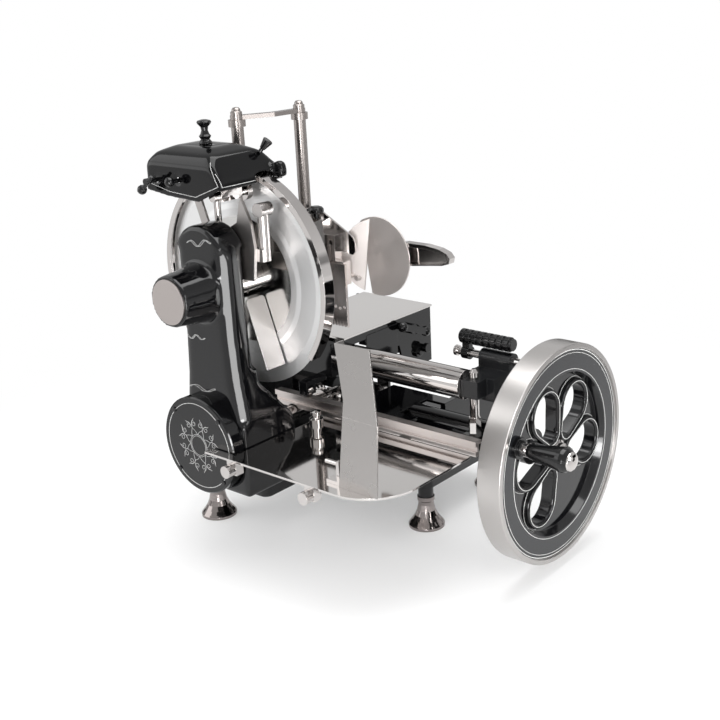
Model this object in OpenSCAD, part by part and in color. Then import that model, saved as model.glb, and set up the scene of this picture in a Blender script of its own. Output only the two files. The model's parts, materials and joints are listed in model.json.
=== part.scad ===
// Hand crank meat slicer: a flywheel turns the blade through a bevel pair and a train of spur gears.
// Units are millimetres. X runs from the blade column to the flywheel, Y away from the operator, Z up.
// The origin is on the floor under the middle of the bounding box.

/* [Blade] */
// radius of the round blade
blade_r = 157.5; // [150:0.5:158]
// thickness of the blade at its flat middle
blade_t = 4; // [3:0.5:5]
// X of the blade axis
blade_x = -176.4; // [-180:0.1:-175]
// Y of the back face of the blade
blade_y = -146; // [-148:0.5:-144]
// clearance between the blade and the wall of the guard ring
guard_gap = 2.3; // [1.6:0.1:4]
// width of the guard ring along the blade axis
guard_w = 19; // [16:1:20]
// thickness of the guard ring wall
guard_t = 3.8; // [3:0.1:4.4]
// radius of the polished blade hub
hub_r = 26; // [22:1:28]

/* [Flywheel] */
// outer radius of the flywheel
fly_r = 158.4; // [150:0.1:160]
// width of the flywheel rim
fly_w = 37; // [30:1:40]
// X of the front face of the flywheel
fly_x = 256.3; // [250:0.1:258]
// Y of the flywheel axis
fly_y = 23.5; // [20:0.5:26]
// height of the flywheel axis over the floor
shaft_z = 176.3; // [174:0.1:178]
// radial thickness of the bright rim
rim_t = 7; // [5:0.5:10]
// distance of the handle pin inside the outer edge of the flywheel
pin_inset = 36.4; // [32:0.2:42]
// width of the raised band inside the bright rim
band_w = 33.4; // [28:0.2:38]
// angle of the handle pin above the horizontal
pin_angle = 156; // [150:1:160]
// large radius of the tapered grip
grip_r = 17; // [14:0.5:19]
// right end of the machine, at the cap of the grip
x_max = 340; // [338:0.5:341]
// distance of the web openings from the axis
petal_at = 75; // [72:0.5:78]
// radius of the wide end of each web opening
petal_r = 29; // [26:0.5:30]

/* [Column] */
// Y of the front face of the column
col_front = -235; // [-238:1:-232]
// Y of the upper rear face of the column
col_rear = -188; // [-190:1:-186]
// half width of the column beside the blade axis
col_half = 50; // [48:1:54]
// half width of the column at its foot
col_foot_half = 64; // [63:1:68]
// height of the rounded top of the column
col_top = 506; // [500:1:510]
// radius of the boss that carries the blade shaft
boss_r = 36; // [34:0.5:38]
// Y of the face of the boss cap
y_min = -295; // [-296:0.5:-294]
// radius of the round gear cover
cover_r = 74; // [72:0.5:76]
// X of the middle of the gear cover
cover_x = -188; // [-190:0.5:-186]
// height of the middle of the gear cover
cover_z = 183; // [181:0.5:185]
// Y of the face of the gear cover
cover_y = -256; // [-258:0.5:-254]

/* [Base] */
// left side of the base casting
base_x0 = -312; // [-316:1:-308]
// right side of the base casting
base_x1 = 28; // [26:1:30]
// front edge of the main deck
base_y0 = -20; // [-21:1:-19]
// rear edge of the main deck
base_y1 = 225; // [220:1:230]
// underside of the base over the floor
base_z0 = 68; // [66:1:70]
// top of the deck over the floor
base_z1 = 110; // [109:0.5:111]
// wall thickness of the hollow casting
base_wall = 9; // [7:0.5:11]
// left end of the raised bed over the main shaft
bed_x0 = -92; // [-94:0.5:-88]
// front edge of the raised bed, behind the front rail
bed_y0 = -50; // [-52:0.5:-40]
// top of the raised bed over the floor
bed_z1 = 194.5; // [194:0.5:198]

/* [Feet] */
// radius of the bell shaped feet at the floor
foot_r = 28.5; // [26:0.5:30]
// height of the bell of each foot
foot_h = 50; // [48:1:52]
// radius of the black stem over each bell
stem_r = 12; // [10:0.5:12]
// radius of the stud that screws the foot to the base
stud_r = 6; // [5:0.5:7]

/* [Slice tray] */
// height of the top of the tray
tray_z = 187; // [186.5:0.1:187.5]
// sheet thickness of the tray
tray_t = 3; // [2:0.5:3]
// front edge of the tray
tray_y0 = -272; // [-273:0.5:-271]
// rear edge of the tray
tray_y1 = -75; // [-78:0.5:-75]
// right edge of the tray
tray_x1 = 167; // [164:1:169]
// corner radius of the tray
tray_corner = 75; // [60:1:80]
// top of the upright deflector panel
panel_top = 387; // [380:1:390]
// sheet thickness of the deflector panel
panel_t = 2.2; // [1.5:0.1:3]

/* [Guides] */
// radius of the large guide tube
tube_r = 22; // [20:0.5:22.5]
// height of the guide tube axis
tube_z = 258; // [257:0.5:259]
// right end of the guide tube
tube_x1 = 108; // [104:1:112]
// width of the front rail
rail_w = 14; // [12:0.5:16]
// height of the front rail
rail_h = 22; // [20:0.5:23]
// Y of the middle of the front rail
rail_y = -62; // [-63:0.5:-61]

/* [Carriage] */
// left edge of the carriage
car_x0 = -258; // [-259:0.5:-256]
// right edge of the carriage box
car_x1 = -100; // [-101:0.5:-99]
// rear edge of the carriage box
car_y1 = 188; // [186:0.5:190]
// rear end of the machine, at the cover of the feed screw
y_max = 295; // [290:0.5:296]
// top of the meat table
table_z = 300; // [299:0.5:301]
// thickness of the meat table
table_t = 3; // [2:0.5:3]
// radius of the two chrome posts
post_r = 9.2; // [8:0.1:10]
// top of the post nuts, the highest point of the machine
z_max = 650; // [648:0.5:652]
// radius of the round hand guard
hand_r = 61; // [58:0.5:63]

/* [Sharpener] */
// left side of the hood
hood_x0 = -275; // [-277:0.5:-273]
// right side of the hood
hood_x1 = -120; // [-121:0.5:-119]
// front of the hood
hood_y0 = -232; // [-233:0.5:-231]
// rear of the hood
hood_y1 = -113; // [-114:0.5:-113]
// lower edge of the hood
hood_z0 = 557; // [556:0.5:558]
// top of the hood
hood_z1 = 606; // [604:0.5:608]
// wall thickness of the hood
hood_t = 3; // [2:0.25:3.5]

/* [Drive] */
// module of the spur gears in the column
gear_m = 2.3; // [2.3:0.01:2.3]
// width of the spur gears
gear_w = 12; // [10:1:14]
// teeth of the driving spur gear
teeth_1 = 48; // [48:1:48]
// teeth of the lower idler gear
teeth_2 = 34; // [34:1:34]
// teeth of the upper idler gear
teeth_3 = 32; // [32:1:32]
// teeth of the spur gear on the blade shaft
teeth_4 = 24; // [24:1:24]
// radius of the main and cross shafts
shaft_r = 12; // [11:0.5:12]
// pitch radius of the bevel gears at the large end
bevel_r = 22; // [22:0.5:22]
// teeth of each bevel gear
bevel_teeth = 16; // [16:1:16]
// throw of the crank that drives the carriage
crank_r = 62; // [58:1:63]
// distance between the eyes of the connecting rod
rod_len = 115; // [113:1:116]

/* [Fits] */
// radial clearance of running fits
run_gap = 0.05; // [0.03:0.01:0.1]
// clearance between sliding flat faces
slide_gap = 0.1; // [0.05:0.01:0.2]
// radial clearance of fixed fits
fixed_gap = 0.02; // [0.01:0.01:0.05]

/* [Hidden] */
$fn = 96;
z1 = shaft_z;
z2 = z1 + gear_m * (teeth_1 + teeth_2) / 2;
z3 = z2 + gear_m * (teeth_2 + teeth_3) / 2;
z4 = z3 + gear_m * (teeth_3 + teeth_4) / 2;
blade_z = z4;
gear_y = -218;
cavity_y0 = -226;
cavity_y1 = -198;
guard_y1 = -137;
guard_y0 = guard_y1 - guard_w;
guard_r = blade_r + guard_gap + guard_t;
pin_arm = fly_r - pin_inset;
screw_r = cover_r - 8;
pin_y = fly_y + pin_arm * cos(pin_angle);
pin_z = shaft_z + pin_arm * sin(pin_angle);
fly_x0 = fly_x - fly_w;
frame_z = 285;
frame_t = 6;
post_1 = [-222, -98];
post_2 = [-192, 2];
feet = [[-290, -142], [12, 19], [-290, 198], [10, 200]];
rail_z0 = 185;
boss_taper = 7;
press_z = 462;
screw_x = -240;
screw_z = 240;
crank_y = 70;

// round bar along X
module xcyl(x0, x1, y, z, r) {
  translate([x0, y, z])
    rotate([0, 90, 0])
      cylinder(h = x1 - x0, r = r);
}

// round bar along Y
module ycyl(x, y0, y1, z, r) {
  translate([x, y0, z])
    rotate([-90, 0, 0])
      cylinder(h = y1 - y0, r = r);
}

// round bar along Z
module zcyl(x, y, z0, z1, r) {
  translate([x, y, z0])
    cylinder(h = z1 - z0, r = r);
}

// box between two corners
module box(a, b) {
  translate(a)
    cube(b - a);
}

// outline in X and Z, extruded along Y
module along_y(y0, y1) {
  translate([0, y1, 0])
    rotate([90, 0, 0])
      linear_extrude(y1 - y0)
        children();
}

// outline in Y and Z, extruded along X
module along_x(x0, x1) {
  translate([x0, 0, 0])
    rotate([90, 0, 90])
      linear_extrude(x1 - x0)
        children();
}

// rectangle with round corners
module round_rect(x0, y0, x1, y1, r) {
  translate([x0 + r, y0])
    square([x1 - x0 - 2 * r, y1 - y0]);
  translate([x0, y0 + r])
    square([x1 - x0, y1 - y0 - 2 * r]);
  for (x = [x0 + r, x1 - r])
    for (y = [y0 + r, y1 - r])
      translate([x, y])
        circle(r);
}

// flat bar with round ends between two points
module link(a, b, ra, rb) {
  d = norm(b - a);
  t = atan2(b[1] - a[1], b[0] - a[0]);
  w = min(ra, rb);
  translate(a)
    circle(ra);
  translate(b)
    circle(rb);
  translate(a)
    rotate(t)
      translate([0, -w])
        square([d, 2 * w]);
}

// spur gear outline with room between the teeth
module gear_outline(teeth, bore, phase) {
  r = gear_m * teeth / 2;
  root = r - 1.05 * gear_m;
  tip = r + 0.75 * gear_m;
  pitch = 360 / teeth;
  difference() {
    union() {
      circle(root);
      for (i = [0 : teeth - 1])
        rotate(phase + i * pitch)
          polygon([
            [root - 0.8, -0.95 * gear_m], [r, -0.66 * gear_m], [tip, -0.3 * gear_m],
            [tip, 0.3 * gear_m], [r, 0.66 * gear_m], [root - 0.8, 0.95 * gear_m]
          ]);
    }
    circle(bore);
  }
}

// spur gear in the column, its axis along Y
module column_gear(z, teeth, bore, phase, hub) {
  translate([blade_x, gear_y + gear_w, z])
    rotate([90, 0, 0])
      difference() {
        union() {
          linear_extrude(gear_w)
            gear_outline(teeth, bore, phase);
          translate([0, 0, -3])
            cylinder(h = gear_w + 6, r = hub);
        }
        translate([0, 0, -4])
          cylinder(h = gear_w + 8, r = bore);
        for (i = [0 : 4])
          rotate(i * 72)
            translate([gear_m * teeth * 0.33, 0, -1])
              cylinder(h = gear_w + 2, r = gear_m * teeth * 0.075);
      }
}

// bevel gear with straight teeth, apex at the origin and large end at -Z
module miter_gear(bore, phase) {
  small = 0.78;
  difference() {
    union() {
      translate([0, 0, -bevel_r])
        cylinder(h = bevel_r * (1 - small), r1 = bevel_r + 1.2, r2 = (bevel_r + 1.2) * small);
      translate([0, 0, -bevel_r - 9])
        cylinder(h = 9, r = bevel_r - 4);
    }
    for (i = [0 : bevel_teeth - 1])
      rotate(phase + i * 360 / bevel_teeth)
        translate([bevel_r, 0, -bevel_r])
          rotate([0, -135, 0])
            translate([-4, -2.6, -5])
              cube([18, 5.2, 6.9]);
    translate([0, 0, -bevel_r - 10])
      cylinder(h = bevel_r + 10, r = bore);
  }
}

// outline of one web opening: two circles joined by their tangents
module petal(grow) {
  r_out = petal_r + grow;
  r_in = 13 + grow;
  lean = 26.25;
  at_in = petal_at - (petal_r - 13) / sin(lean);
  // the straight sides end just inside the arcs
  w_out = r_out - 0.15;
  w_in = r_in - 0.15;
  translate([petal_at, 0])
    circle(r_out);
  translate([at_in, 0])
    circle(r_in);
  polygon([
    [petal_at - w_out * sin(lean), w_out * cos(lean)],
    [at_in - w_in * sin(lean), w_in * cos(lean)],
    [at_in - w_in * sin(lean), -w_in * cos(lean)],
    [petal_at - w_out * sin(lean), -w_out * cos(lean)]
  ]);
}

// one web opening through the flywheel
module petal_cut() {
  lean = 26.25;
  at_in = petal_at - (petal_r - 13) / sin(lean);
  w_out = petal_r - 0.15;
  w_in = 13 - 0.15;
  xcyl(fly_x0 - 2, fly_x + 2, petal_at, 0, petal_r);
  xcyl(fly_x0 - 3, fly_x + 3, at_in, 0, 13);
  along_x(fly_x0 - 4, fly_x + 4)
    polygon([
      [petal_at - w_out * sin(lean), w_out * cos(lean)],
      [at_in - w_in * sin(lean), w_in * cos(lean)],
      [at_in - w_in * sin(lean), -w_in * cos(lean)],
      [petal_at - w_out * sin(lean), -w_out * cos(lean)]
    ]);
}

// hollow cast base with a lobe under the column
module base_outline(inset) {
  difference() {
    union() {
      round_rect(base_x0 + inset, base_y0 + inset, base_x1 - inset, base_y1 - inset, 12);
      round_rect(base_x0 + inset, -158 + inset, -158 - inset, 60, 12);
    }
    translate([base_x1 - 38 + inset, base_y0 - 2])
      rotate(45)
        translate([0, -40])
          square([80, 40]);
  }
}

// raised bed over the main shaft, with room for the shaft housing
module base_bed() {
  difference() {
    union() {
      box([bed_x0, base_y0, base_z1 - 1], [-36, base_y0 + 8, bed_z1]);
      box([bed_x0, bed_y0, bed_z1 - 4], [base_x1, 76, bed_z1]);
      box([base_x1 - base_wall, 54, base_z1 - 1], [base_x1, base_y1 - 1, bed_z1]);
    }
    box([-8, -14, base_z1], [base_x1 + 12, 53.5, 206]);
    xcyl(bed_x0 - 8, base_x1 + 12, fly_y, z1, shaft_r + 2.5);
  }
}

module base_casting() {
  color("#17181a")
    difference() {
      union() {
        difference() {
          translate([0, 0, base_z0])
            linear_extrude(base_z1 - base_z0)
              base_outline(0);
          translate([0, 0, base_z0 - 1])
            linear_extrude(base_z1 - base_z0 - base_wall + 1)
              base_outline(base_wall);
        }
        for (f = feet)
          zcyl(f[0], f[1], base_z0, base_z1 - 2, stem_r + 4);
        base_bed();
      }
      for (f = feet)
        zcyl(f[0], f[1], base_z0 - 1, base_z1 - 14, stud_r + fixed_gap);
      box([blade_x - 80, 62, base_z1 - 20], [blade_x + 80, 94, base_z1 + 1]);
    }
}

// bell shaped foot
module foot(p) {
  translate([p[0], p[1], 0])
    difference() {
      rotate_extrude()
        polygon([
          [0, 0], [foot_r, 0], [foot_r, 4], [foot_r - 2, 7], [foot_r - 6, 12], [foot_r - 10.5, 19],
          [foot_r - 14, 27], [stem_r + 0.4, 37], [stem_r + 0.4, 42], [stem_r + 1.6, 44],
          [stem_r + 1.6, foot_h], [0, foot_h]
        ]);
      translate([0, 0, foot_h - 20])
        cylinder(h = 21, r = stud_r + fixed_gap);
    }
}

// four chrome bells under the base
module foot_bells() {
  color("#c9ccd0")
    for (f = feet)
      foot(f);
}

// black stems with studs between the bells and the base
module foot_stems() {
  color("#1b1b1d")
    for (f = feet) {
      zcyl(f[0], f[1], foot_h, base_z0, stem_r);
      zcyl(f[0], f[1], foot_h - 18, base_z1 - 16, stud_r);
    }
}

// wedge that takes a chamfer off an upright edge of the column
module edge_cut(a, b, y, size, side) {
  d = norm(b - a);
  t = atan2(b[0] - a[0], b[1] - a[1]);
  translate([a[0], y, a[1]])
    rotate([0, t, 0])
      rotate([0, 0, 45])
        translate([-size / sqrt(2), -size / sqrt(2), -3])
          cube([size * sqrt(2), size * sqrt(2), d + 6]);
}

module column_outline() {
  translate([blade_x, 0]) {
    translate([0, col_top - col_half])
      circle(col_half);
    polygon([
      [-col_half, col_top - col_half], [col_half, col_top - col_half], [col_half + 1, 345],
      [col_half + 5, 285], [col_foot_half, 225], [col_foot_half, base_z1],
      [-col_foot_half, base_z1], [-col_foot_half, 225], [-col_half - 5, 285], [-col_half - 1, 345]
    ]);
  }
}

module column_shell() {
  h = col_half;
  f = col_foot_half;
  x = blade_x;
  difference() {
    union() {
      along_y(col_front, col_rear)
        column_outline();
      intersection() {
        along_y(col_front, -90)
          column_outline();
        along_x(blade_x - 80, blade_x + 80)
          polygon([
            [col_front, base_z1], [-112, base_z1], [-112, 188], [col_rear - 2, 276], [col_front, 276]
          ]);
      }
      translate([blade_x, col_front + 6, blade_z])
        rotate([90, 0, 0])
          cylinder(h = col_front + 6 - y_min - 2, r1 = boss_r + boss_taper, r2 = boss_r);
      ycyl(blade_x, col_rear - 1, col_rear + 9, blade_z, 28);
    }
    for (s = [-1, 1]) {
      edge_cut([x + s * h, 470], [x + s * (h + 1), 345], col_front, 13, s);
      edge_cut([x + s * (h + 1), 345], [x + s * (h + 5), 285], col_front, 13, s);
      edge_cut([x + s * (h + 5), 285], [x + s * f, 225], col_front, 13, s);
      edge_cut([x + s * h, 470], [x + s * (h + 1), 345], col_rear, 12, s);
      edge_cut([x + s * (h + 1), 345], [x + s * (h + 3), 300], col_rear, 12, s);
      translate([x + s * f, -112, base_z1 - 10])
        rotate([0, 0, 45])
          translate([-15, -15, 0])
            cube([30, 30, 180]);
    }
  }
}

// cast column with the gear cavity and the blade shaft boss
module column_housing() {
  color("#141517")
    difference() {
      column_shell();
      along_y(cavity_y0, cavity_y1)
        translate([blade_x, 0]) {
          translate([0, z1])
            circle(gear_m * teeth_1 / 2 + 3.2);
          translate([0, z2])
            circle(gear_m * teeth_2 / 2 + 3);
          translate([0, z3])
            circle(gear_m * teeth_3 / 2 + 3);
          translate([0, z4])
            circle(gear_m * teeth_4 / 2 + 3);
        }
      ycyl(blade_x, col_front - 1, cavity_y1, z1, gear_m * teeth_1 / 2 + 3.2);
      ycyl(blade_x, y_min + 1, cavity_y0 + 1, blade_z, 20 + fixed_gap);
      ycyl(blade_x, cavity_y1 - 1, col_rear + 10, blade_z, 20 + fixed_gap);
      ycyl(blade_x, cavity_y1 - 1, -100, z1, shaft_r + 2);
      ycyl(blade_x, -138, -100, z1, 20 + fixed_gap);
      for (z = [z2, z3])
        ycyl(blade_x, col_front + 3, col_rear - 3, z, 7 + fixed_gap);
      for (a = [45, 135, 225, 315])
        ycyl(
          cover_x + screw_r * cos(a), col_front - 1, col_front + 7, cover_z + screw_r * sin(a),
          2 + fixed_gap
        );
    }
}

// round cover in front of the driving spur gear
module gear_cover() {
  color("#1a1b1d")
    translate([cover_x, col_front, cover_z])
      rotate([90, 0, 0])
        difference() {
          union() {
            cylinder(h = col_front - cover_y - 2, r = cover_r);
            translate([0, 0, col_front - cover_y - 2])
              cylinder(h = 2, r1 = cover_r, r2 = cover_r - 2);
          }
          translate([0, 0, -1])
            cylinder(h = col_front - cover_y - 3, r = cover_r - 13);
          for (a = [45, 135, 225, 315])
            translate([screw_r * cos(a), screw_r * sin(a), -1])
              cylinder(h = 30, r = 2 + fixed_gap);
        }
}

// countersunk screws of the gear cover
module gear_cover_screws() {
  color("#b9bcc0")
    for (a = [45, 135, 225, 315])
      translate([cover_x + screw_r * cos(a), 0, cover_z + screw_r * sin(a)]) {
        translate([0, cover_y, 0])
          rotate([90, 0, 0])
            cylinder(h = 1.6, r = 3.6);
        translate([0, col_front + 6, 0])
          rotate([90, 0, 0])
            cylinder(h = col_front + 6 - cover_y, r = 2);
      }
}

// brushed disc that closes the boss
module boss_cap() {
  color("#cfcfd0")
    difference() {
      union() {
        ycyl(blade_x, y_min, y_min + 2, blade_z, boss_r - 4);
        ycyl(blade_x, y_min + 1.5, y_min + 9, blade_z, 20 - fixed_gap);
      }
      ycyl(blade_x, y_min + 5, y_min + 10, blade_z, 16);
    }
}

// mirror polished tray under the blade
module slice_tray() {
  r = tray_corner;
  x0 = cover_x + cover_r + 5;
  color("#c4c6c8")
    translate([0, 0, tray_z - tray_t])
      linear_extrude(tray_t)
        difference() {
          union() {
            translate([x0, tray_y0])
              square([tray_x1 - r - x0, tray_y1 - tray_y0]);
            translate([x0, tray_y0 + r])
              square([tray_x1 - x0, tray_y1 - tray_y0 - r]);
            translate([tray_x1 - r, tray_y0 + r])
              circle(r);
            translate([-157, tray_y0])
              square([50, 12.5]);
          }
          translate([-72, -128])
            circle(4 + fixed_gap);
        }
}

// rods under the tray, their blocks with round heads, and the clamp of the upright panel
module tray_clamps() {
  color("#c2c4c7") {
    for (x = [cover_x + cover_r + 10, 45]) {
      ycyl(x, tray_y0 - 7, -52, tray_z - tray_t - 8, 5);
      difference() {
        union() {
          box([x - 9, tray_y0 + 1, tray_z - tray_t - 20], [x + 9, tray_y0 + 15, tray_z - tray_t]);
          ycyl(x, tray_y0 - 12, tray_y0 + 1, tray_z - tray_t - 12, 9);
        }
        ycyl(x, tray_y0 - 8, tray_y0 + 30, tray_z - tray_t - 8, 5 + fixed_gap);
      }
    }
    box([58, -249.8, tray_z], [81.8, -236, tray_z + 5]);
    box([76.5, -249.8, tray_z + 4], [81.5, -236, tray_z + 34]);
    xcyl(54, 84, -243, tray_z + 28, 3.5);
  }
}

// small round knob standing on the tray
module tray_stop_knob() {
  color("#1c1c1e")
    translate([-72, -128, tray_z])
      rotate_extrude()
        polygon([
          [0, -tray_t - 5], [4, -tray_t - 5], [4, 0], [7, 0], [7, 8], [10.5, 9], [10.5, 22], [6, 23],
          [6, 27], [8, 28], [8, 33], [0, 34]
        ]);
}

// bent upright sheet at the front corner of the tray
module deflector_panel() {
  color("#c6c8ca") {
    along_y(-252, -252 + panel_t)
      polygon([
        [88, panel_top], [146, panel_top + 1], [149, 345], [153, 288], [147, tray_z], [82, tray_z],
        [98, 312]
      ]);
    translate([0, -252 + panel_t, 0])
      rotate([90, 0, 0])
        translate([0, 0, -14])
          linear_extrude(14)
            polygon([
              [88, panel_top], [88 + panel_t, panel_top], [98 + panel_t, 312], [82 + panel_t, tray_z],
              [82, tray_z], [98, 312]
            ]);
  }
}

// open band round the edge of the blade
module guard_ring() {
  r = guard_r;
  color("#bfc1c4")
    difference() {
      translate([blade_x, guard_y1, blade_z])
        rotate([90, 0, 0])
          difference() {
            cylinder(h = guard_w, r = r, $fn = 180);
            translate([0, 0, -1])
              cylinder(h = guard_w - 0.6, r = r - guard_t, $fn = 180);
            translate([0, 0, guard_w - 3])
              cylinder(h = 5, r = r - 8.5, $fn = 180);
          }
      along_y(guard_y0 - 2, guard_y1 + 2)
        translate([blade_x, blade_z])
          polygon([
            [0, 0], [260 * cos(-38), 260 * sin(-38)], [180, -260], [260 * cos(-100), 260 * sin(-100)]
          ]);
      along_y(-146.5, guard_y1 + 2)
        translate([blade_x, blade_z])
          polygon([[0, 0], [260 * cos(101), 260 * sin(101)], [260 * cos(82), 260 * sin(82)]]);
    }
}

// pointed plate behind the column top and the arms that hold the guard ring
module guard_bracket() {
  x = blade_x;
  z = blade_z;
  color("#b7b9bc")
    difference() {
      union() {
        along_y(col_rear, col_rear + 5)
          polygon([
            [x - 38, 424], [x + 60, 424], [x + 66, 470], [x + 62, 505], [x + 44, 542], [x + 34, 505],
            [x - 4, 484], [x - 38, 484]
          ]);
        for (a = [110, 240])
          translate([x, 0, z])
            rotate([0, -a, 0]) {
              box([36, col_rear, -7], [r_guard() + 2, col_rear + 4, 7]);
              box([r_guard() - 2, col_rear, -7], [r_guard() + 2, guard_y0 + 6, 7]);
            }
      }
      ycyl(x, col_rear - 1, col_rear + 12, z, 28.3);
      for (q = [[x + 56, 506], [x + 55, 489]])
        ycyl(q[0], col_rear + 2, col_rear + 6, q[1], 4.5);
    }
}

function r_guard() = guard_r + 2.02;

// sloped plate that peels the slice off the blade
module slice_deflector() {
  color("#c4c6c8")
    difference() {
      along_y(col_rear, -153.5)
        polygon([[-156, 394], [-153.6, 395], [-103.6, 293], [-106, 292]]);
      ycyl(blade_x, col_rear - 1, col_rear + 10, blade_z, 28.2);
      translate([-92, -170, 280])
        rotate([0, 30, 0])
          cube([30, 30, 30], center = true);
    }
}

// ring with a ball race look
module bearing_y(y0, y1, z, r_out, r_in) {
  difference() {
    ycyl(blade_x, y0, y1, z, r_out);
    ycyl(blade_x, y0 - 1, y1 + 1, z, r_in + run_gap);
    for (y = [y0 - 1, y1 - 1])
      difference() {
        ycyl(blade_x, y, y + 2, z, (r_out + r_in) / 2 + 1.6);
        ycyl(blade_x, y - 1, y + 3, z, (r_out + r_in) / 2 - 1.2);
      }
  }
}

// bearings of the blade shaft, the cross shaft and the main shaft
module shaft_bearings() {
  color("#a9acb0") {
    bearing_y(-282, -266, blade_z, 20, shaft_r);
    bearing_y(-195, -181, blade_z, 20, shaft_r);
    bearing_y(-137, -115, z1, 20, shaft_r);
    for (x = [[-5, 12], [186, 205]])
      difference() {
        xcyl(x[0], x[1], fly_y, z1, 17);
        xcyl(x[0] - 1, x[1] + 1, fly_y, z1, shaft_r + run_gap);
      }
  }
}

// stands for the rear end of the cross shaft and the inner end of the main shaft
module shaft_stands() {
  difference() {
    union() {
      along_y(49, 62)
        polygon([
          [blade_x - 40, base_z1], [blade_x + 40, base_z1], [blade_x + 24, z1], [blade_x - 24, z1]
        ]);
      ycyl(blade_x, 48.5, 64, z1, 24);
    }
    ycyl(blade_x, 30, 70, z1, shaft_r + run_gap);
  }
  difference() {
    union() {
      along_x(-134, -118)
        polygon([[fly_y - 32, base_z1], [fly_y + 34, base_z1], [fly_y + 24, z1], [fly_y - 24, z1]]);
      xcyl(-136, -116, fly_y, z1, 24);
    }
    xcyl(-140, -110, fly_y, z1, shaft_r + run_gap);
  }
}

// long cast housing between the base and the flywheel
module shaft_housing() {
  color("#18191b")
    difference() {
      union() {
        xcyl(-6, 206, fly_y, z1, 21);
        box([-6, fly_y - 28, base_z1], [26, fly_y + 28, z1 - 4]);
        box([108, -12, z1 - 12], [136, fly_y, rail_z0 + 1]);
        xcyl(194, 206, fly_y, z1, 26);
      }
      xcyl(-8, 208, fly_y, z1, shaft_r + 1.2);
      xcyl(186, 208, fly_y, z1, 17 + fixed_gap);
      xcyl(-8, 12, fly_y, z1, 17 + fixed_gap);
      zcyl(122, 0, rail_z0 - 9, rail_z0 + 2, 4 + fixed_gap);
      zcyl(122, 0, rail_z0 + 1, rail_z0 + 12, 10);
    }
}

// fixed pins that the two idler gears turn on
module idler_pins() {
  color("#9da0a4")
    for (z = [z2, z3])
      ycyl(blade_x, col_front + 3, col_rear - 3, z, 7);
}

// large bright tube that guides the carriage
module guide_tube() {
  color("#d0d2d5")
    difference() {
      xcyl(-326, tube_x1, 0, tube_z, tube_r);
      xcyl(-327, tube_x1 - 4, 0, tube_z, tube_r - 3);
    }
}

// upright that clamps the left end of the tube
module tube_support() {
  difference() {
    along_x(-310, -284)
      polygon([
        [-52, base_z1], [52, base_z1], [40, 150], [32, tube_z + 12], [16, tube_z + 30],
        [-16, tube_z + 30], [-32, tube_z + 12], [-40, 150]
      ]);
    xcyl(-312, -280, 0, tube_z, tube_r + fixed_gap);
  }
}

// chrome pillar with a hexagon foot at the right end of the tube, and the rod behind it
module tube_pillar() {
  color("#c8b8b2") {
    translate([122, 0, rail_z0 + 1])
      rotate(15)
        cylinder(h = 25, r = 9.4, $fn = 6);
    zcyl(122, 0, rail_z0 + 25, 280, 6.8);
    zcyl(122, 0, rail_z0 - 8, rail_z0 + 2, 4);
    translate([122, 0, 280])
      cylinder(h = 5, r1 = 6.8, r2 = 3);
    xcyl(49, 168, 60, 283, 6);
    xcyl(47, 52, 60, 283, 8);
  }
}

// black bracket that ties the tube end to the pillar
module tube_end_bracket() {
  color("#1b1b1d")
    difference() {
      union() {
        box([96, 10, 236], [150, 72, 270]);
        box([tube_x1 + 0.3, -14, 244], [137, 14, 270]);
        xcyl(tube_x1 + 0.3 - 4.3, tube_x1 + 4, 0, tube_z, 12);
        xcyl(96, 150, 60, 283, 12);
        box([96, 48, 268], [150, 72, 283]);
      }
      xcyl(90, tube_x1, 0, tube_z, tube_r + 0.3);
      zcyl(122, 0, 230, 290, 6.8 + fixed_gap);
      xcyl(90, 160, 60, 283, 6 + fixed_gap);
    }
}

// grooved front rail and flat rear rail
module guide_rails() {
  color("#c9b7b0") {
    difference() {
      box([-215, rail_y - rail_w / 2, rail_z0], [172, rail_y + rail_w / 2, rail_z0 + rail_h]);
      box([-216, rail_y - rail_w / 2 - 1, rail_z0 + 7], [173, rail_y - rail_w / 2 + 4, rail_z0 + 14]);
      box([-216, rail_y + 1, rail_z0 + 4], [173, rail_y + rail_w / 2 + 1, rail_z0 + 17]);
      ycyl(blade_x, rail_y - 20, rail_y + 20, z1, shaft_r + 2);
    }
    difference() {
      box([-300, 142, base_z1], [16, 162, base_z1 + 18]);
      box([-301, 141, base_z1 + 5], [17, 146, base_z1 + 12]);
      box([-301, 158, base_z1 + 5], [17, 163, base_z1 + 12]);
    }
  }
}

// arms that carry the front rail and the tray rods
module rail_arms() {
  difference() {
    union() {
      box([-113, -74.5, 158], [-95, 6, rail_z0]);
      box([-113, -18, base_z1], [-95, 6, 160]);
      box([36, -74.5, 158], [54, -34, rail_z0]);
      box([-34, -52, 158], [54, -34, rail_z0]);
      box([-34, -52, 158], [-16, -6, rail_z0]);
      box([-34, -18, base_z1], [-16, -6, 160]);
    }
    for (x = [-104, 45])
      ycyl(x, -75, -50, tray_z - tray_t - 8, 5 + fixed_gap);
  }
}

// cast stands and arms bolted to the base
module frame_brackets() {
  color("#1d1e20") {
    tube_support();
    shaft_stands();
    rail_arms();
  }
}

// black ribbed grip above the rod
module index_grip() {
  color("#202022")
    difference() {
      union() {
        xcyl(58, 150, 60, 308, 9);
        for (i = [0 : 7])
          xcyl(60 + i * 11.2, 67 + i * 11.2, 60, 308, 11);
        xcyl(62, 74, 60, 283, 10);
        box([62, 55, 283], [74, 65, 302]);
      }
      xcyl(50, 160, 60, 283, 6 + fixed_gap);
    }
}

// upright that carries the sharpener
module sharpener_stem() {
  color("#b9bbbe") {
    zcyl(-190, -178, 455, 600, 5);
    box([-198, col_rear + 5, 455], [-182, -172, 482]);
    zcyl(-106, -172, 452, 522, 8);
    box([-134, col_rear + 5, 452], [-100, -172, 470]);
    ycyl(-106, -182, -160, 524, 10);
  }
}

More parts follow.
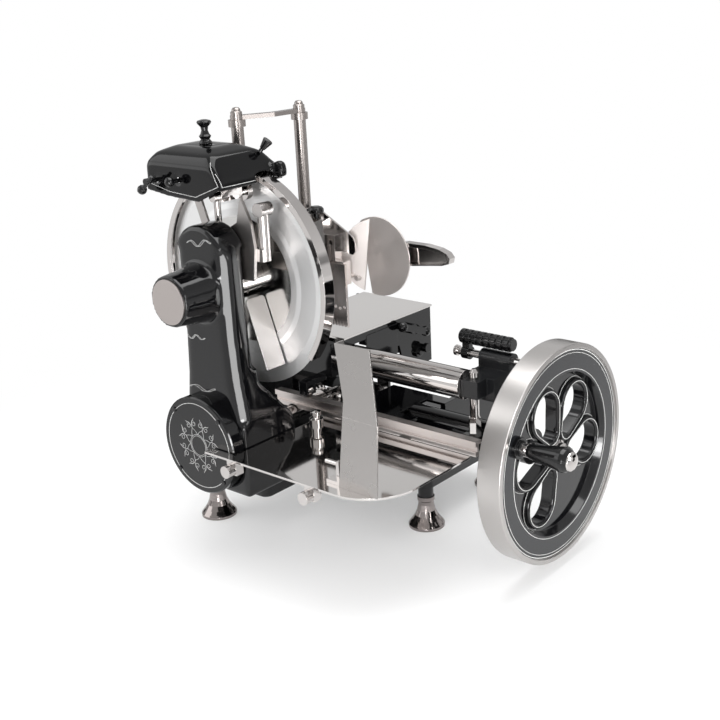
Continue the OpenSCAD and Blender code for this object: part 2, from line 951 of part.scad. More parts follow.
// cast flywheel with five open petals and one closed field
module flywheel() {
  r = fly_r - rim_t;
  color("#3a3c40")
    translate([0, fly_y, z1])
      difference() {
        union() {
          rotate([90, 0, 90])
            rotate_extrude($fn = 180)
              polygon([
                [18, fly_x0 + 9], [r - 6, fly_x0 + 9], [r - 6, fly_x0 + 3], [r, fly_x0 + 3],
                [r, fly_x0], [fly_r - 1, fly_x0], [fly_r, fly_x0 + 1], [fly_r, fly_x - 1],
                [fly_r - 1, fly_x], [r, fly_x], [r, fly_x - 3], [r - band_w, fly_x - 3],
                [r - band_w - 5, fly_x - 14], [18, fly_x - 14]
              ]);
          for (i = [0 : 5])
            if (i != 4)
              translate([fly_x - 15, 0, 0])
                rotate([90, 0, 90])
                  linear_extrude(6)
                    rotate(175 - 60 * i)
                      petal(7);
        }
        for (i = [0 : 5])
          if (i != 4)
            rotate([175 - 60 * i, 0, 0])
              petal_cut();
        xcyl(fly_x0 - 1, fly_x + 1, 0, 0, 20);
        translate([0, pin_y - fly_y, pin_z - z1])
          rotate([0, 90, 0])
            cylinder(h = 300, r = 6 + fixed_gap);
      }
}

// hub with a domed bright cap
module flywheel_hub() {
  color("#c9ccd0")
    translate([0, fly_y, z1])
      difference() {
        rotate([90, 0, 90])
          rotate_extrude()
            polygon([
              [0, fly_x0 + 4], [20 - fixed_gap, fly_x0 + 4], [20 - fixed_gap, fly_x - 9],
              [16, fly_x - 7], [16, fly_x - 2], [13, fly_x + 1], [13, fly_x + 5], [11.6, fly_x + 9],
              [8.4, fly_x + 12.4], [4.4, fly_x + 14.4], [0, fly_x + 15]
            ]);
        xcyl(fly_x0, fly_x - 6, 0, 0, shaft_r + fixed_gap);
      }
}

// pin that carries the grip
module handle_pin() {
  color("#c9ccd0") {
    xcyl(fly_x0 + 12, x_max - 12, pin_y, pin_z, 6);
    xcyl(fly_x - 3, fly_x + 3, pin_y, pin_z, 15);
    xcyl(fly_x + 3, fly_x + 7, pin_y, pin_z, 11);
  }
}

// tapered black grip
module handle_grip() {
  color("#161617")
    translate([0, pin_y, pin_z])
      difference() {
        rotate([90, 0, 90])
          rotate_extrude()
            polygon([
              [0, fly_x + 15], [9, fly_x + 15], [10.5, fly_x + 20], [12.5, fly_x + 36],
              [14.8, fly_x + 52], [grip_r - 0.6, fly_x + 62], [grip_r, fly_x + 68],
              [grip_r - 0.8, x_max - 11], [13, x_max - 6], [0, x_max - 6]
            ]);
        xcyl(fly_x, x_max - 11, 0, 0, 6 + run_gap);
      }
}

// turned collar at the foot of the grip and its plain bright cap
module grip_ferrules() {
  color("#c9ccd0") {
    difference() {
      xcyl(fly_x + 7.3, fly_x + 15, pin_y, pin_z, 9.5);
      xcyl(fly_x, fly_x + 20, pin_y, pin_z, 6 + run_gap);
    }
    translate([0, pin_y, pin_z])
      rotate([90, 0, 90])
        rotate_extrude()
          polygon([
            [0, x_max - 6], [13, x_max - 6], [12.6, x_max - 4], [10.5, x_max - 1.8], [7, x_max - 0.6],
            [3.5, x_max - 0.1], [0, x_max]
          ]);
  }
}

// main shaft with the driving bevel gear cut on its inner end
module main_shaft() {
  color("#9da0a4") {
    xcyl(-161, fly_x - 7, fly_y, z1, shaft_r);
    translate([blade_x, fly_y, z1])
      rotate([0, -90, 0])
        miter_gear(shaft_r - 0.5, 0);
  }
}

// shaft from the bevel gears to the column
module cross_shaft() {
  color("#9da0a4")
    ycyl(blade_x, -222, crank_y + 9, z1, shaft_r);
}

// bevel gear on the cross shaft
module cross_bevel() {
  color("#8f9296")
    translate([blade_x, fly_y, z1])
      rotate([-90, 0, 0])
        miter_gear(shaft_r + fixed_gap, 180 / bevel_teeth);
}

module column_gear_1() color("#9a9da1") column_gear(z1, teeth_1, shaft_r + fixed_gap, 90, 20);

module column_gear_2() color("#9a9da1") column_gear(z2, teeth_2, 7 + run_gap, 90 + 180 / teeth_2, 13);

module column_gear_3() color("#9a9da1") column_gear(z3, teeth_3, 7 + run_gap, 90, 13);

// crank that moves the carriage
module crank_arm() {
  color("#8f9296")
    difference() {
      along_y(crank_y, crank_y + 9)
        link([blade_x, z1], [blade_x - crank_r, z1], 20, 11);
      ycyl(blade_x, crank_y - 1, crank_y + 10, z1, shaft_r + fixed_gap);
      ycyl(blade_x - crank_r, crank_y - 1, crank_y + 10, z1, 5 + fixed_gap);
    }
}

// round blade with a ground edge
module blade_disc() {
  b = blade_y;
  t = blade_t;
  color("#d2d4d6")
    translate([blade_x, 0, blade_z])
      rotate([-90, 0, 0])
        difference() {
          rotate_extrude($fn = 180)
            polygon([
              [shaft_r + 0.5, b - t], [104, b - t], [112, b - t + 1.2], [140, b - t + 1.2],
              [blade_r, b - 0.5], [blade_r, b], [shaft_r + 0.5, b]
            ]);
          for (a = [45, 135, 225, 315])
            translate([19 * cos(a), 19 * sin(a), b - t - 1])
              cylinder(h = t + 2, r = 2 + fixed_gap);
        }
}

// bright hub in front of the blade
module blade_hub() {
  color("#c3c5c8")
    translate([blade_x, 0, blade_z])
      rotate([-90, 0, 0]) {
        difference() {
          translate([0, 0, -178.5])
            cylinder(h = blade_y - blade_t + 178.5, r = hub_r);
          translate([0, 0, -180])
            cylinder(h = 50, r = shaft_r + fixed_gap);
          translate([0, 0, -168])
            difference() {
              cylinder(h = 2, r = hub_r + 1);
              cylinder(h = 3, r = hub_r - 0.8);
            }
        }
        for (a = [45, 135, 225, 315])
          translate([19 * cos(a), 19 * sin(a), blade_y - blade_t - 1])
            cylinder(h = blade_t + 1, r = 2);
      }
}

// shaft of the blade with its pinion
module blade_shaft() {
  color("#9da0a4") {
    column_gear(z4, teeth_4, shaft_r - 0.5, 90 + 180 / teeth_4, 17);
    ycyl(blade_x, -284, blade_y + 2, blade_z, shaft_r);
    ycyl(blade_x, blade_y + 0, blade_y + 3, blade_z, 24);
  }
}

// sleeve, frame plate and arms of the carriage
module carriage_frame() {
  color("#26272a")
    difference() {
      union() {
        box([car_x0 - 4, -28, tube_z - 27], [-128, 28, frame_z]);
        translate([0, 0, frame_z])
          linear_extrude(frame_t)
            polygon([
              [car_x0, -28], [-244, -28], [-244, -114], [-176, -114], [-176, -28], [car_x1 - 4, -28],
              [car_x1 - 4, car_y1 - 4], [car_x0, car_y1 - 4]
            ]);
        box([-134, 89.2, z1 - 12], [-114, 95, frame_z + 1]);
        box([-158, -72, 225], [-142, -27, 233]);
        box([-158, -72, 211], [-142, -68.3, 226]);
        box([-158, -55.7, 211], [-142, -52, 226]);
        box([-202, 164, 132], [-182, 170, frame_z + 1]);
      }
      xcyl(car_x0 - 10, -120, 0, tube_z, tube_r + run_gap);
      ycyl(blade_x - crank_r + rod_len, 80, 100, z1, 5 + fixed_gap);
      ycyl(-192, 160, 175, 140.2, 4 + fixed_gap);
      ycyl(-150, -75, -50, rail_z0 + rail_h + 8, 3 + fixed_gap);
      for (p = [post_1, post_2])
        zcyl(p[0], p[1], frame_z + 0.5, frame_z + 10, 6 + fixed_gap);
    }
}

// black sheet sides of the carriage, with the round cover of the feed screw at the rear
module carriage_box() {
  z0 = 204;
  z9 = table_z - table_t - 0.5;
  color("#161719")
    difference() {
      union() {
        along_x(car_x1 - 4, car_x1)
          polygon([
            [-28, z9], [car_y1, z9], [car_y1, z0], [118, z0], [104, 252], [34, 252], [26, 284], [-28, 284]
          ]);
        box([car_x0, car_y1 - 4, z0], [car_x1 - 1, car_y1, z9]);
        translate([screw_x, car_y1 - 1, screw_z])
          rotate([-90, 0, 0])
            rotate_extrude()
              polygon([
                [0, 0], [19, 0], [19, 7], [15, 8], [15, y_max - car_y1 - 11], [16.5, y_max - car_y1 - 10],
                [16.5, y_max - car_y1 - 4], [13, y_max - car_y1], [6, y_max - car_y1 + 1],
                [0, y_max - car_y1 + 1]
              ]);
      }
      ycyl(screw_x, car_y1, y_max - 10, screw_z, 12);
      ycyl(screw_x, car_y1 - 5, car_y1 + 1, screw_z, 6 + fixed_gap);
      xcyl(car_x1 - 5, car_x1 + 1, 131, 274, 5 + run_gap);
    }
}

// rollers under the carriage with their axles, the pin of the connecting rod and the feed screw
module carriage_rollers() {
  color("#8b8e92") {
    ycyl(-150, -68, -56, rail_z0 + rail_h + 8, 7.9);
    ycyl(-150, -71.5, -52.5, rail_z0 + rail_h + 8, 3);
    ycyl(-192, 143, 161, base_z1 + 18 + 12.2, 12);
    ycyl(-192, 143, 172, 140.2, 4);
    ycyl(blade_x - crank_r + rod_len, 79.5, 94.8, z1, 5);
    translate([screw_x, 28, screw_z])
      rotate([-90, 0, 0])
        rotate_extrude()
          polygon(concat(
            [[0, 0], [6, 0], [6, 40]],
            [for (i = [0 : 17]) each [[6, 42 + i * 6], [4.6, 43.4 + i * 6], [4.6, 45 + i * 6], [6, 46.4 + i * 6]]],
            [[6, 250], [0, 250]]
          ));
  }
}

// two chrome posts on the carriage
module posts() {
  color("#cfd1d4")
    for (p = [post_1, post_2]) {
      zcyl(p[0], p[1], frame_z + frame_t, z_max - 28, post_r);
      zcyl(p[0], p[1], frame_z + 1, frame_z + frame_t + 1, 6);
      zcyl(p[0], p[1], z_max - 28, z_max - 18, post_r + 3.6);
      zcyl(p[0], p[1], z_max - 19, z_max - 8, 5);
      zcyl(p[0], p[1], frame_z + frame_t, frame_z + frame_t + 9, post_r + 3);
    }
}

// bent flat bar between the post tops
module post_bar() {
  bend = [-196, -49];
  color("#c6c8cb")
    difference() {
      translate([0, 0, z_max - 18])
        linear_extrude(6) {
          link(post_1, bend, 9.5, 6.5);
          link(bend, post_2, 6.5, 9.5);
        }
      for (p = [post_1, post_2])
        zcyl(p[0], p[1], z_max - 20, z_max, 5 + fixed_gap);
    }
}

// domed nuts over the bar
module post_nuts() {
  color("#cfd1d4")
    for (p = [post_1, post_2])
      translate([p[0], p[1], z_max - 12])
        difference() {
          rotate_extrude()
            polygon([[0, 0], [8.6, 0], [8.6, 5], [6.6, 6.4], [6.2, 9], [4.2, 11.2], [0, 12]]);
          translate([0, 0, -1])
            cylinder(h = 5.2, r = 5 + fixed_gap);
        }
}

// small crank with ball ends and its shaft, which feeds the table
module feed_crank() {
  a = [102, 285];
  b = [160, 263];
  x = car_x1 + 10.8;
  color("#1a1a1b") {
    xcyl(car_x1 - 26, car_x1 + 1, 131, 274, 5);
    xcyl(car_x1 + 0.6, x, 131, 274, 8.4);
    along_x(x - 5.5, x + 5.5)
      link(a, b, 5.5, 5.5);
    for (q = [a, b])
      translate([x, q[0], q[1]])
        sphere(r = 8.4);
  }
}

// small knob and pointer on the side of the carriage
module lock_knob() {
  color("#1a1a1b") {
    xcyl(car_x1, car_x1 + 9, 161, 234, 5.2);
    xcyl(car_x1 + 8, car_x1 + 15, 161, 234, 7.6);
    xcyl(car_x1, car_x1 + 5, 150, 228, 8.5);
    xcyl(car_x1 + 4, car_x1 + 9, 150, 228, 4.5);
  }
}

// polished meat table with the strips that guide it on the carriage
module table_top() {
  color("#d3d5d7") {
    translate([0, 0, table_z - table_t])
      linear_extrude(table_t)
        polygon([
          [-172, -29], [-98, -29], [-98, 190], [-246, 190], [-246, 84], [-240, 74], [-205, 74],
          [-190, 66], [-176, 34], [-172, 10]
        ]);
    box([-168, -20, frame_z + frame_t + slide_gap], [-152, 176, table_z - table_t + 1]);
    box([-126, -20, frame_z + frame_t + slide_gap], [-110, 176, table_z - table_t + 1]);
  }
}

// rod between the crank and the carriage, with its crank pin
module connecting_rod() {
  a = [blade_x - crank_r, z1];
  b = [blade_x - crank_r + rod_len, z1];
  color("#8f9296")
    difference() {
      union() {
        along_y(80, 88)
          link(a, b, 11, 10);
        ycyl(a[0], 79.5, 91, z1, 5);
        ycyl(a[0], 87.9, 91, z1, 8);
      }
      ycyl(b[0], 79, 89, z1, 5 + run_gap);
    }
}

// crosshead that slides on the two posts
module press_crosshead() {
  color("#b7babd")
    difference() {
      union() {
        translate([0, 0, press_z])
          linear_extrude(16)
            link(post_1, post_2, 13, 13);
        zcyl(post_1[0], post_1[1], press_z - 8, press_z + 26, 12.6);
        zcyl(post_2[0], post_2[1], press_z - 8, press_z + 26, 12.6);
        box([-192, -6, press_z - 60], [-150, 10, press_z + 12]);
        box([-152, -6, press_z - 86], [-112, 10, press_z - 50]);
        box([-150, -6, press_z - 51], [-128, 10, press_z - 10]);
      }
      for (p = [post_1, post_2])
        zcyl(p[0], p[1], press_z - 70, press_z + 40, post_r + run_gap);
      box([-146, -8, press_z - 80], [-116, 5, press_z - 58]);
      ycyl(-135, -8, 12, press_z - 22, 4);
    }
}

// polished arm from the crosshead to the round hand guard, with the bright rod beside it
module press_arm() {
  color("#cdcfd1") {
    along_y(10, 13)
      polygon([
        [-178, 484], [-170, 485], [-105, 449], [-101, 440], [-101, 427], [-106, 421], [-128, 424],
        [-178, 432]
      ]);
    ycyl(-84, 39.5, 46, 437, 8);
    xcyl(-170, -84, 46, 437, 5.5);
    translate([-84, 46, 437])
      sphere(r = 5.5);
    translate([-170, 46, 437])
      sphere(r = 5.5);
    ycyl(-170, 12.8, 46, 437, 5.5);
  }
}

// dark clamp knob on the crosshead
module press_knob() {
  color("#1b1b1d") {
    zcyl(-166, -2, press_z + 12, press_z + 20, 5);
    translate([-166, -2, press_z + 20])
      rotate_extrude()
        polygon([[0, 0], [11, 0], [12, 2], [12, 6], [10, 9], [6, 10.6], [0, 11]]);
  }
}

// upright plate with pointed teeth
module toothed_plate() {
  color("#c3c5c8")
    along_y(-10, -6)
      difference() {
        translate([-142, 311])
          square([36, press_z - 52 - 311]);
        for (i = [0 : 5])
          translate([-139 + i * 6, 308])
            polygon([[-3.2, 0], [3.2, 0], [0, 13]]);
        translate([-142, 332])
          for (i = [0 : 3])
            translate([4 + i * 9, 8 + 2 * (i % 2)])
              circle(2.6);
      }
}

// round guard with its left part folded forward
module hand_guard() {
  c = [-80, 416];
  color("#d6d8da") {
    along_y(37, 39.5)
      intersection() {
        translate(c)
          circle(hand_r, $fn = 128);
        polygon([[-112, 470], [-93, 350], [0, 340], [20, 500], [-100, 490]]);
      }
    intersection() {
      translate([-102.5, 37, 410])
        rotate([0, 9, 0])
          rotate([0, 0, 32])
            translate([102.5, -37, -410])
              along_y(37, 39.5)
                translate([-2, 0])
                  translate(c)
                    circle(hand_r, $fn = 128);
      translate([-102.4, 39.5, 410])
        rotate([0, 9, 0])
          translate([-120, -120, -100])
            cube([120, 122, 200]);
    }
    for (q = [[-116, 31, 379], [-124, 25, 384]])
      ycyl(q[0], q[1] - 5, q[1] + 3, q[2], 4.2);
  }
}

// tongue shaped handle with a thick rim
module press_handle() {
  color("#cfd1d3") {
    difference() {
      along_y(40, 53)
        polygon([
          [-72, 438], [-30, 443], [10, 443], [34, 440], [48, 435], [54, 428], [52, 420], [40, 416],
          [-30, 407], [-72, 405]
        ]);
      along_y(38, 49)
        polygon([
          [-80, 432], [-30, 437], [10, 437.5], [32, 434.5], [44, 430], [48.5, 426], [47, 422.5],
          [38, 418.5], [-30, 409], [-80, 407]
        ]);
    }
    ycyl(-60, 39.5, 50, 420, 9);
  }
}

// outline of the hood, inset by its wall
module hood_form(i) {
  x0 = hood_x0;
  x1 = hood_x1;
  y0 = hood_y0;
  y1 = hood_y1;
  z9 = hood_z1 + 4;
  intersection() {
    along_y(y0 + i, y1 - i)
      polygon([
        [x0 + i, hood_z0 - 20 * sign(i)], [x0 + i, 584 - i], [x0 + 14 + i * 0.5, 601 - i],
        [x0 + 38, z9 - i], [x1 - 46, z9 - i], [x1 - 24 - i * 0.5, 601 - i], [x1 - 4 - i, 572 - i],
        [x1 - i, hood_z0], [x1 - i, hood_z0 - 20 * sign(i)]
      ]);
    along_x(x0, x1)
      polygon([
        [y0 + i, hood_z0 - 20 * sign(i)], [y0 + i, 590 - i], [y0 + 10 + i * 0.5, 602 - i],
        [y0 + 28, z9 - i], [y1 - 42, z9 - i], [y1 - 14 - i * 0.5, 596 - i], [y1 - i, 576 - i],
        [y1 - i, hood_z0 - 20 * sign(i)]
      ]);
  }
}

// black enamelled hood of the sharpener
module sharpener_hood() {
  color("#131416")
    difference() {
      union() {
        hood_form(0);
        along_y(hood_y0, hood_y0 + hood_t)
          polygon([
            [hood_x0, 560], [hood_x0 + 2, 548], [-228, 542], [-168, 539], [hood_x1, hood_z0 + 3]
          ]);
        box([hood_x1 - 1, -128, 560], [hood_x1 + 12, hood_y1, 574]);
        ycyl(hood_x1 + 2, -128, hood_y1, 574, 10);
      }
      hood_form(hood_t);
      box([hood_x1 - 8, -160, 550], [hood_x1 + 1, -132, 570]);
      zcyl(-195, -185, 590, 620, 3 + fixed_gap);
      ycyl(-206, -240, -228, 566, 3 + fixed_gap);
      ycyl(-252, -240, -228, 563, 3 + fixed_gap);
    }
}

// spool shaped knob, conical knob and two ball ended levers on the hood
module hood_knobs() {
  z9 = hood_z1 + 4;
  color("#1b1b1d") {
    translate([-195, -185, z9])
      rotate_extrude()
        polygon([
          [0, -12], [3, -12], [3, 0], [9, 0], [9.6, 2], [8, 5], [6, 7], [7.4, 9], [8.6, 11.5], [6.4, 14],
          [4.6, 19], [5.4, 24], [9, 28], [10.4, 30.5], [9, 32.6], [4, 34], [0, 34.4]
        ]);
    translate([-139, -138, 595])
      rotate([0, 40, 35])
        translate([0, 0, 1.1])
          rotate_extrude()
            polygon([[0, 0], [3, 0], [3, 6], [4, 6.5], [7.4, 20], [6.6, 21], [0, 21.4]]);
    ycyl(-206, -246, -229, 566, 3);
    translate([-206, -247, 566])
      sphere(r = 7);
    ycyl(-252, -246, -229, 563, 3);
    ycyl(-252, -252, -245.9, 563, 5);
    translate([-240, -249, 571])
      rotate([0, -130, 0])
        cylinder(h = 32, r1 = 2.6, r2 = 3.6);
    translate([-264, -249, 551])
      rotate([0, -130, 0])
        rotate_extrude()
          polygon([[0, -7], [3.4, -6.2], [6, -3.6], [7, 0], [6, 3.6], [3.4, 6.2], [0, 7]]);
  }
}

// block inside the hood that holds the two stones
module sharpener_carrier() {
  color("#6f7276")
    difference() {
      union() {
        box([-214, -212, 566], [-150, -165, 598]);
        box([-158, -212, 538], [-142, -173, 568]);
        box([-204, -166, 578], [-168, -130, 592]);
        box([-190, -134, 548], [-172, -122, 581]);
        zcyl(-195, -185, 597, hood_z1 + 4 - hood_t, 7);
      }
      zcyl(-190, -178, 560, 602, 5 + run_gap);
      zcyl(-195, -185, 592, 612, 3 + fixed_gap);
      ycyl(-150, -220, -160, 545, 3 + run_gap);
      ycyl(-181, -140, -115, 558, 3 + run_gap);
    }
}

// stone in front of the blade with its spindle
module front_stone() {
  color("#8a6a55") {
    difference() {
      ycyl(-150, -166, -157, 545, 13);
      ycyl(-150, -167, -156, 545, 3 + fixed_gap);
    }
    ycyl(-150, -213, -158, 545, 3);
    ycyl(-150, -222, -212.2, 545, 6.5);
    ycyl(-150, -172, -166.02, 545, 6.5);
  }
}

// stone behind the blade with its spindle
module rear_stone() {
  color("#8a6a55") {
    difference() {
      ycyl(-181, -144.4, -136.4, 558, 11);
      ycyl(-181, -146, -135, 558, 3 + fixed_gap);
    }
    ycyl(-181, -143.5, -119, 558, 3);
    ycyl(-181, -136.38, -134.2, 558, 6);
  }
}

base_casting();
column_housing();
gear_cover();
gear_cover_screws();
boss_cap();
foot_bells();
foot_stems();
slice_tray();
tray_clamps();
tray_stop_knob();
deflector_panel();
guard_ring();
guard_bracket();
slice_deflector();
shaft_bearings();
frame_brackets();
shaft_housing();
idler_pins();
guide_tube();
tube_pillar();
tube_end_bracket();
index_grip();
guide_rails();
sharpener_stem();
flywheel();
flywheel_hub();
handle_pin();
main_shaft();
handle_grip();
grip_ferrules();
cross_shaft();
cross_bevel();
column_gear_1();
crank_arm();
column_gear_2();
column_gear_3();
blade_disc();
blade_hub();
blade_shaft();
carriage_frame();
carriage_box();
carriage_rollers();
posts();
post_bar();
post_nuts();
lock_knob();
feed_crank();
table_top();
connecting_rod();
press_crosshead();
press_arm();
press_knob();
toothed_plate();
hand_guard();
press_handle();
sharpener_hood();
hood_knobs();
sharpener_carrier();
front_stone();
rear_stone();
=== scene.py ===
import json
import math

import bmesh
import bpy
from mathutils import Matrix, Vector
from mathutils.bvhtree import BVHTree

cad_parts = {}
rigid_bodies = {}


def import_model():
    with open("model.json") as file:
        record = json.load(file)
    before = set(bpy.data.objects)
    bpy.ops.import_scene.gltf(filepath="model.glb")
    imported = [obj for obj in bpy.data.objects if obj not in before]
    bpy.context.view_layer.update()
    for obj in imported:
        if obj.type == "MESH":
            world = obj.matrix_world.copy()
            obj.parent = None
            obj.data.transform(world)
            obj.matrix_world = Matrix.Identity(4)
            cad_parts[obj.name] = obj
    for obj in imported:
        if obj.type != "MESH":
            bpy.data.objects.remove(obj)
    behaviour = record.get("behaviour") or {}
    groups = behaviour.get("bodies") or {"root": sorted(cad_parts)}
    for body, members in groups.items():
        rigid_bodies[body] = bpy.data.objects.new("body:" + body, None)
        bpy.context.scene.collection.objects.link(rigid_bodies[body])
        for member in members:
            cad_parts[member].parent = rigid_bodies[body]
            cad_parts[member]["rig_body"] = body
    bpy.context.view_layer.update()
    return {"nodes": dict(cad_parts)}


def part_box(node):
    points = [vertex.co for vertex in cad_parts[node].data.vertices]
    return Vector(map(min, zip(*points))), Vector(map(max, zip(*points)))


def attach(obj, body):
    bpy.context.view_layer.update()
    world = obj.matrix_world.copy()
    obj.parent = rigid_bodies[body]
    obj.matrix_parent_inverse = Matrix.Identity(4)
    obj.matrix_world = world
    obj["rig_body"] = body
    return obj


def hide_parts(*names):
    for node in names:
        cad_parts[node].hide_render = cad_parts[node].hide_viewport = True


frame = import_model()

# ---------------------------------------------------------------- base casting
# The hollow base is one casting of grey iron. It is ground, filled, covered with
# several coats of black stove enamel and polished, so it reflects like glass.

MM = 0.001  # sizes are written in millimetres, and Blender takes metres


def linear(code):
    """An sRGB hex colour as linear red, green, blue and alpha."""
    parts = [int(code[i:i + 2], 16) / 255 for i in (1, 3, 5)]
    return [c / 12.92 if c <= 0.04045 else ((c + 0.055) / 1.055) ** 2.4 for c in parts] + [1.0]


def add(tree, kind, settings=None, links=None):
    """Adds a node with its settings and its links.

    A setting with a small first letter is an attribute, and any other is a socket."""
    made = tree.nodes.new("ShaderNode" + kind)
    for key, value in (settings or {}).items():
        if isinstance(key, str) and key[0].islower():
            setattr(made, key, value)
        else:
            made.inputs[key].default_value = value
    for key, (source, output) in (links or {}).items():
        tree.links.new(source.outputs[output], made.inputs[key])
    return made


def join(tree, source, output, target, socket):
    """Links two nodes that are both there already."""
    tree.links.new(source.outputs[output], target.inputs[socket])


def start(name):
    """A new material with its node tree, its shader and the place on the part in metres."""
    mat = bpy.data.materials.new(name)
    mat.use_nodes = True
    tree = mat.node_tree
    tree.nodes.clear()
    shader = add(tree, "BsdfPrincipled")
    add(tree, "OutputMaterial", links={"Surface": (shader, "BSDF")})
    place = add(tree, "TexCoord")
    return mat, tree, shader, place


def per_mm(size):
    """The texture scale that makes one feature this many millimetres wide."""
    return 1 / (size * MM)


def dress(mat, *names):
    """Gives the part's own solids this material."""
    for name in names:
        slots = frame["nodes"][name].data.materials
        for i in range(max(len(slots), 1)):
            if i < len(slots):
                slots[i] = mat
            else:
                slots.append(mat)


def gloss_enamel(name, colour, dusty, rough=0.07, ior=1.46):
    """Stove enamel: deep colour under a hard clear gloss with a faint orange peel."""
    # in mm; real orange peel is about 3 wide, and is drawn coarser so that it shows
    cloud_width, peel_width, peel_height, rubbed_edge = 60, 14, 0.06, 1.2
    mat, tree, shader, place = start(name)
    cloud = add(tree, "TexNoise", {"Scale": per_mm(cloud_width), "Detail": 3.0},
                {"Vector": (place, "Object")})
    tint = add(tree, "Mix", {"data_type": "RGBA", 6: linear(colour), 7: linear(dusty)},
               {0: (cloud, "Fac")})
    peel = add(tree, "TexNoise", {"Scale": per_mm(peel_width), "Detail": 1.0},
               {"Vector": (place, "Object")})
    edge = add(tree, "Bevel", {"samples": 6, "Radius": rubbed_edge * MM})
    bump = add(tree, "Bump", {"Strength": 0.1, "Distance": peel_height * MM},
               {"Height": (peel, "Fac"), "Normal": (edge, "Normal")})
    join(tree, tint, 2, shader, "Base Color")
    join(tree, bump, "Normal", shader, "Normal")
    shader.inputs["Roughness"].default_value = rough
    shader.inputs["IOR"].default_value = ior
    return mat


# black stove enamel, baked and polished: sharp pale reflections on a deep black
enamel = gloss_enamel("stove_enamel_black", "#050506", "#0a0a0c")
dress(enamel, "base_casting")

# ------------------------------------------------------------------------ feet
# Four turned bells of nickelled steel carry the machine. Each is screwed to a
# black stem under the base, and sets its height.


def bright_metal(name, colour, rough, grain, depth, round_edge=0.5):
    """Plated or polished metal: nearly a mirror, with faint polishing marks and hand smudges."""
    # grain is the marks' width in mm; real grit is finer, and is drawn coarser so that it shows
    smudge_width = 35
    glossy, dull = rough * 0.9, rough * 1.3
    noise_low, noise_high = 0.1, 0.9  # the texture's values hardly leave this range
    mat, tree, shader, place = start(name)
    smudge = add(tree, "TexNoise", {"Scale": per_mm(smudge_width), "Detail": 4.0},
                 {"Vector": (place, "Object")})
    gloss = add(tree, "MapRange",
                {"From Min": noise_low, "From Max": noise_high, "To Min": glossy, "To Max": dull},
                {"Value": (smudge, "Fac")})
    marks = add(tree, "TexNoise", {"Scale": per_mm(grain), "Detail": 2.0},
                {"Vector": (place, "Object")})
    edge = add(tree, "Bevel", {"samples": 4, "Radius": round_edge * MM})
    bump = add(tree, "Bump", {"Strength": 0.04, "Distance": depth * MM},
               {"Height": (marks, "Fac"), "Normal": (edge, "Normal")})
    join(tree, gloss, "Result", shader, "Roughness")
    join(tree, bump, "Normal", shader, "Normal")
    shader.inputs["Base Color"].default_value = linear(colour)
    shader.inputs["Metallic"].default_value = 1.0
    return mat


# nickel plate on turned steel: a warm dark mirror
dark_nickel = bright_metal("dark_nickel_plate", "#938c8a", rough=0.1, grain=4.0, depth=0.01)
dress(dark_nickel, "foot_bells")
dress(enamel, "foot_stems")

# ---------------------------------------------------------------------- column
# The column is a hollow iron casting that holds the gear train. Behind its front
# face its edges are rubbed round, and three small waves are painted on the enamel.


def link(thing):
    """Puts a new object in the scene."""
    bpy.context.scene.collection.objects.link(thing)
    return thing


def frozen(thing):
    """Applies the modifiers of an object to its mesh."""
    graph = bpy.context.evaluated_depsgraph_get()
    mesh = bpy.data.meshes.new_from_object(thing.evaluated_get(graph))
    thing.modifiers.clear()
    thing.data = mesh
    mesh.polygons.foreach_set("use_smooth", [True] * len(mesh.polygons))
    return thing


def rub_round(node, name, voxel, passes, mat, crisp):
    """A copy of a casting with its edges rubbed round, except where crisp says so."""
    same_point = 0.01  # mm
    source = frame["nodes"][node]
    thing = link(bpy.data.objects.new(name, source.data.copy()))
    shell = bmesh.new()
    shell.from_mesh(thing.data)
    bmesh.ops.remove_doubles(shell, verts=shell.verts, dist=same_point * MM)
    shell.to_mesh(thing.data)
    shell.free()
    remesh = thing.modifiers.new("cast", "REMESH")
    remesh.mode = "VOXEL"
    remesh.voxel_size = voxel * MM
    frozen(thing)
    group = thing.vertex_groups.new(name="soft")
    group.add([v.index for v in thing.data.vertices if not crisp(v.co)], 1.0, "REPLACE")
    smooth = thing.modifiers.new("rub", "SMOOTH")
    smooth.factor = 0.5
    smooth.iterations = passes
    smooth.vertex_group = "soft"
    frozen(thing)
    thing.data.materials.clear()
    thing.data.materials.append(mat)
    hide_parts(node)
    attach(thing, source["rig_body"])
    return thing


column_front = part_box("column_housing")[0].y
front_skin = 12  # mm behind the front face that keep their shape
column = rub_round("column_housing", "column_casting", voxel=2.4, passes=26, mat=enamel,
                   crisp=lambda p: p.y < column_front + front_skin * MM)


def lining_paint(name, colour, grain):
    """Thin paint from a lining brush: almost even, with slight changes in its cover."""
    thinnest = 0.8
    mat, tree, shader, place = start(name)
    load = add(tree, "TexNoise", {"Scale": per_mm(grain), "Detail": 2.0},
               {"Vector": (place, "Object")})
    dim = [c * thinnest for c in linear(colour)[:3]] + [1.0]
    tint = add(tree, "Mix", {"data_type": "RGBA", 6: linear(colour), 7: dim}, {0: (load, "Fac")})
    join(tree, tint, 2, shader, "Base Color")
    shader.inputs["Roughness"].default_value = 0.4
    return mat


def thin_line(name, paths, width, body, mat, closed=False):
    """A painted line along lists of points in metres, half sunk into the surface."""
    broad = 3  # mm, from which a line needs a rounder section
    curve = bpy.data.curves.new(name, "CURVE")
    curve.dimensions = "3D"
    curve.bevel_depth = width / 2 * MM
    curve.bevel_resolution = 2 if width < broad else 6
    for path in paths:
        spline = curve.splines.new("POLY")
        spline.points.add(len(path) - 1)
        for point, place in zip(spline.points, path):
            point.co = (*place, 1)
        spline.use_cyclic_u = closed
    curve.materials.append(mat)
    thing = link(bpy.data.objects.new(name, curve))
    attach(thing, body)


def surface_of(thing):
    """A search tree of a finished mesh in the part's frame."""
    return BVHTree.FromPolygons([v.co for v in thing.data.vertices],
                                [list(f.vertices) for f in thing.data.polygons])


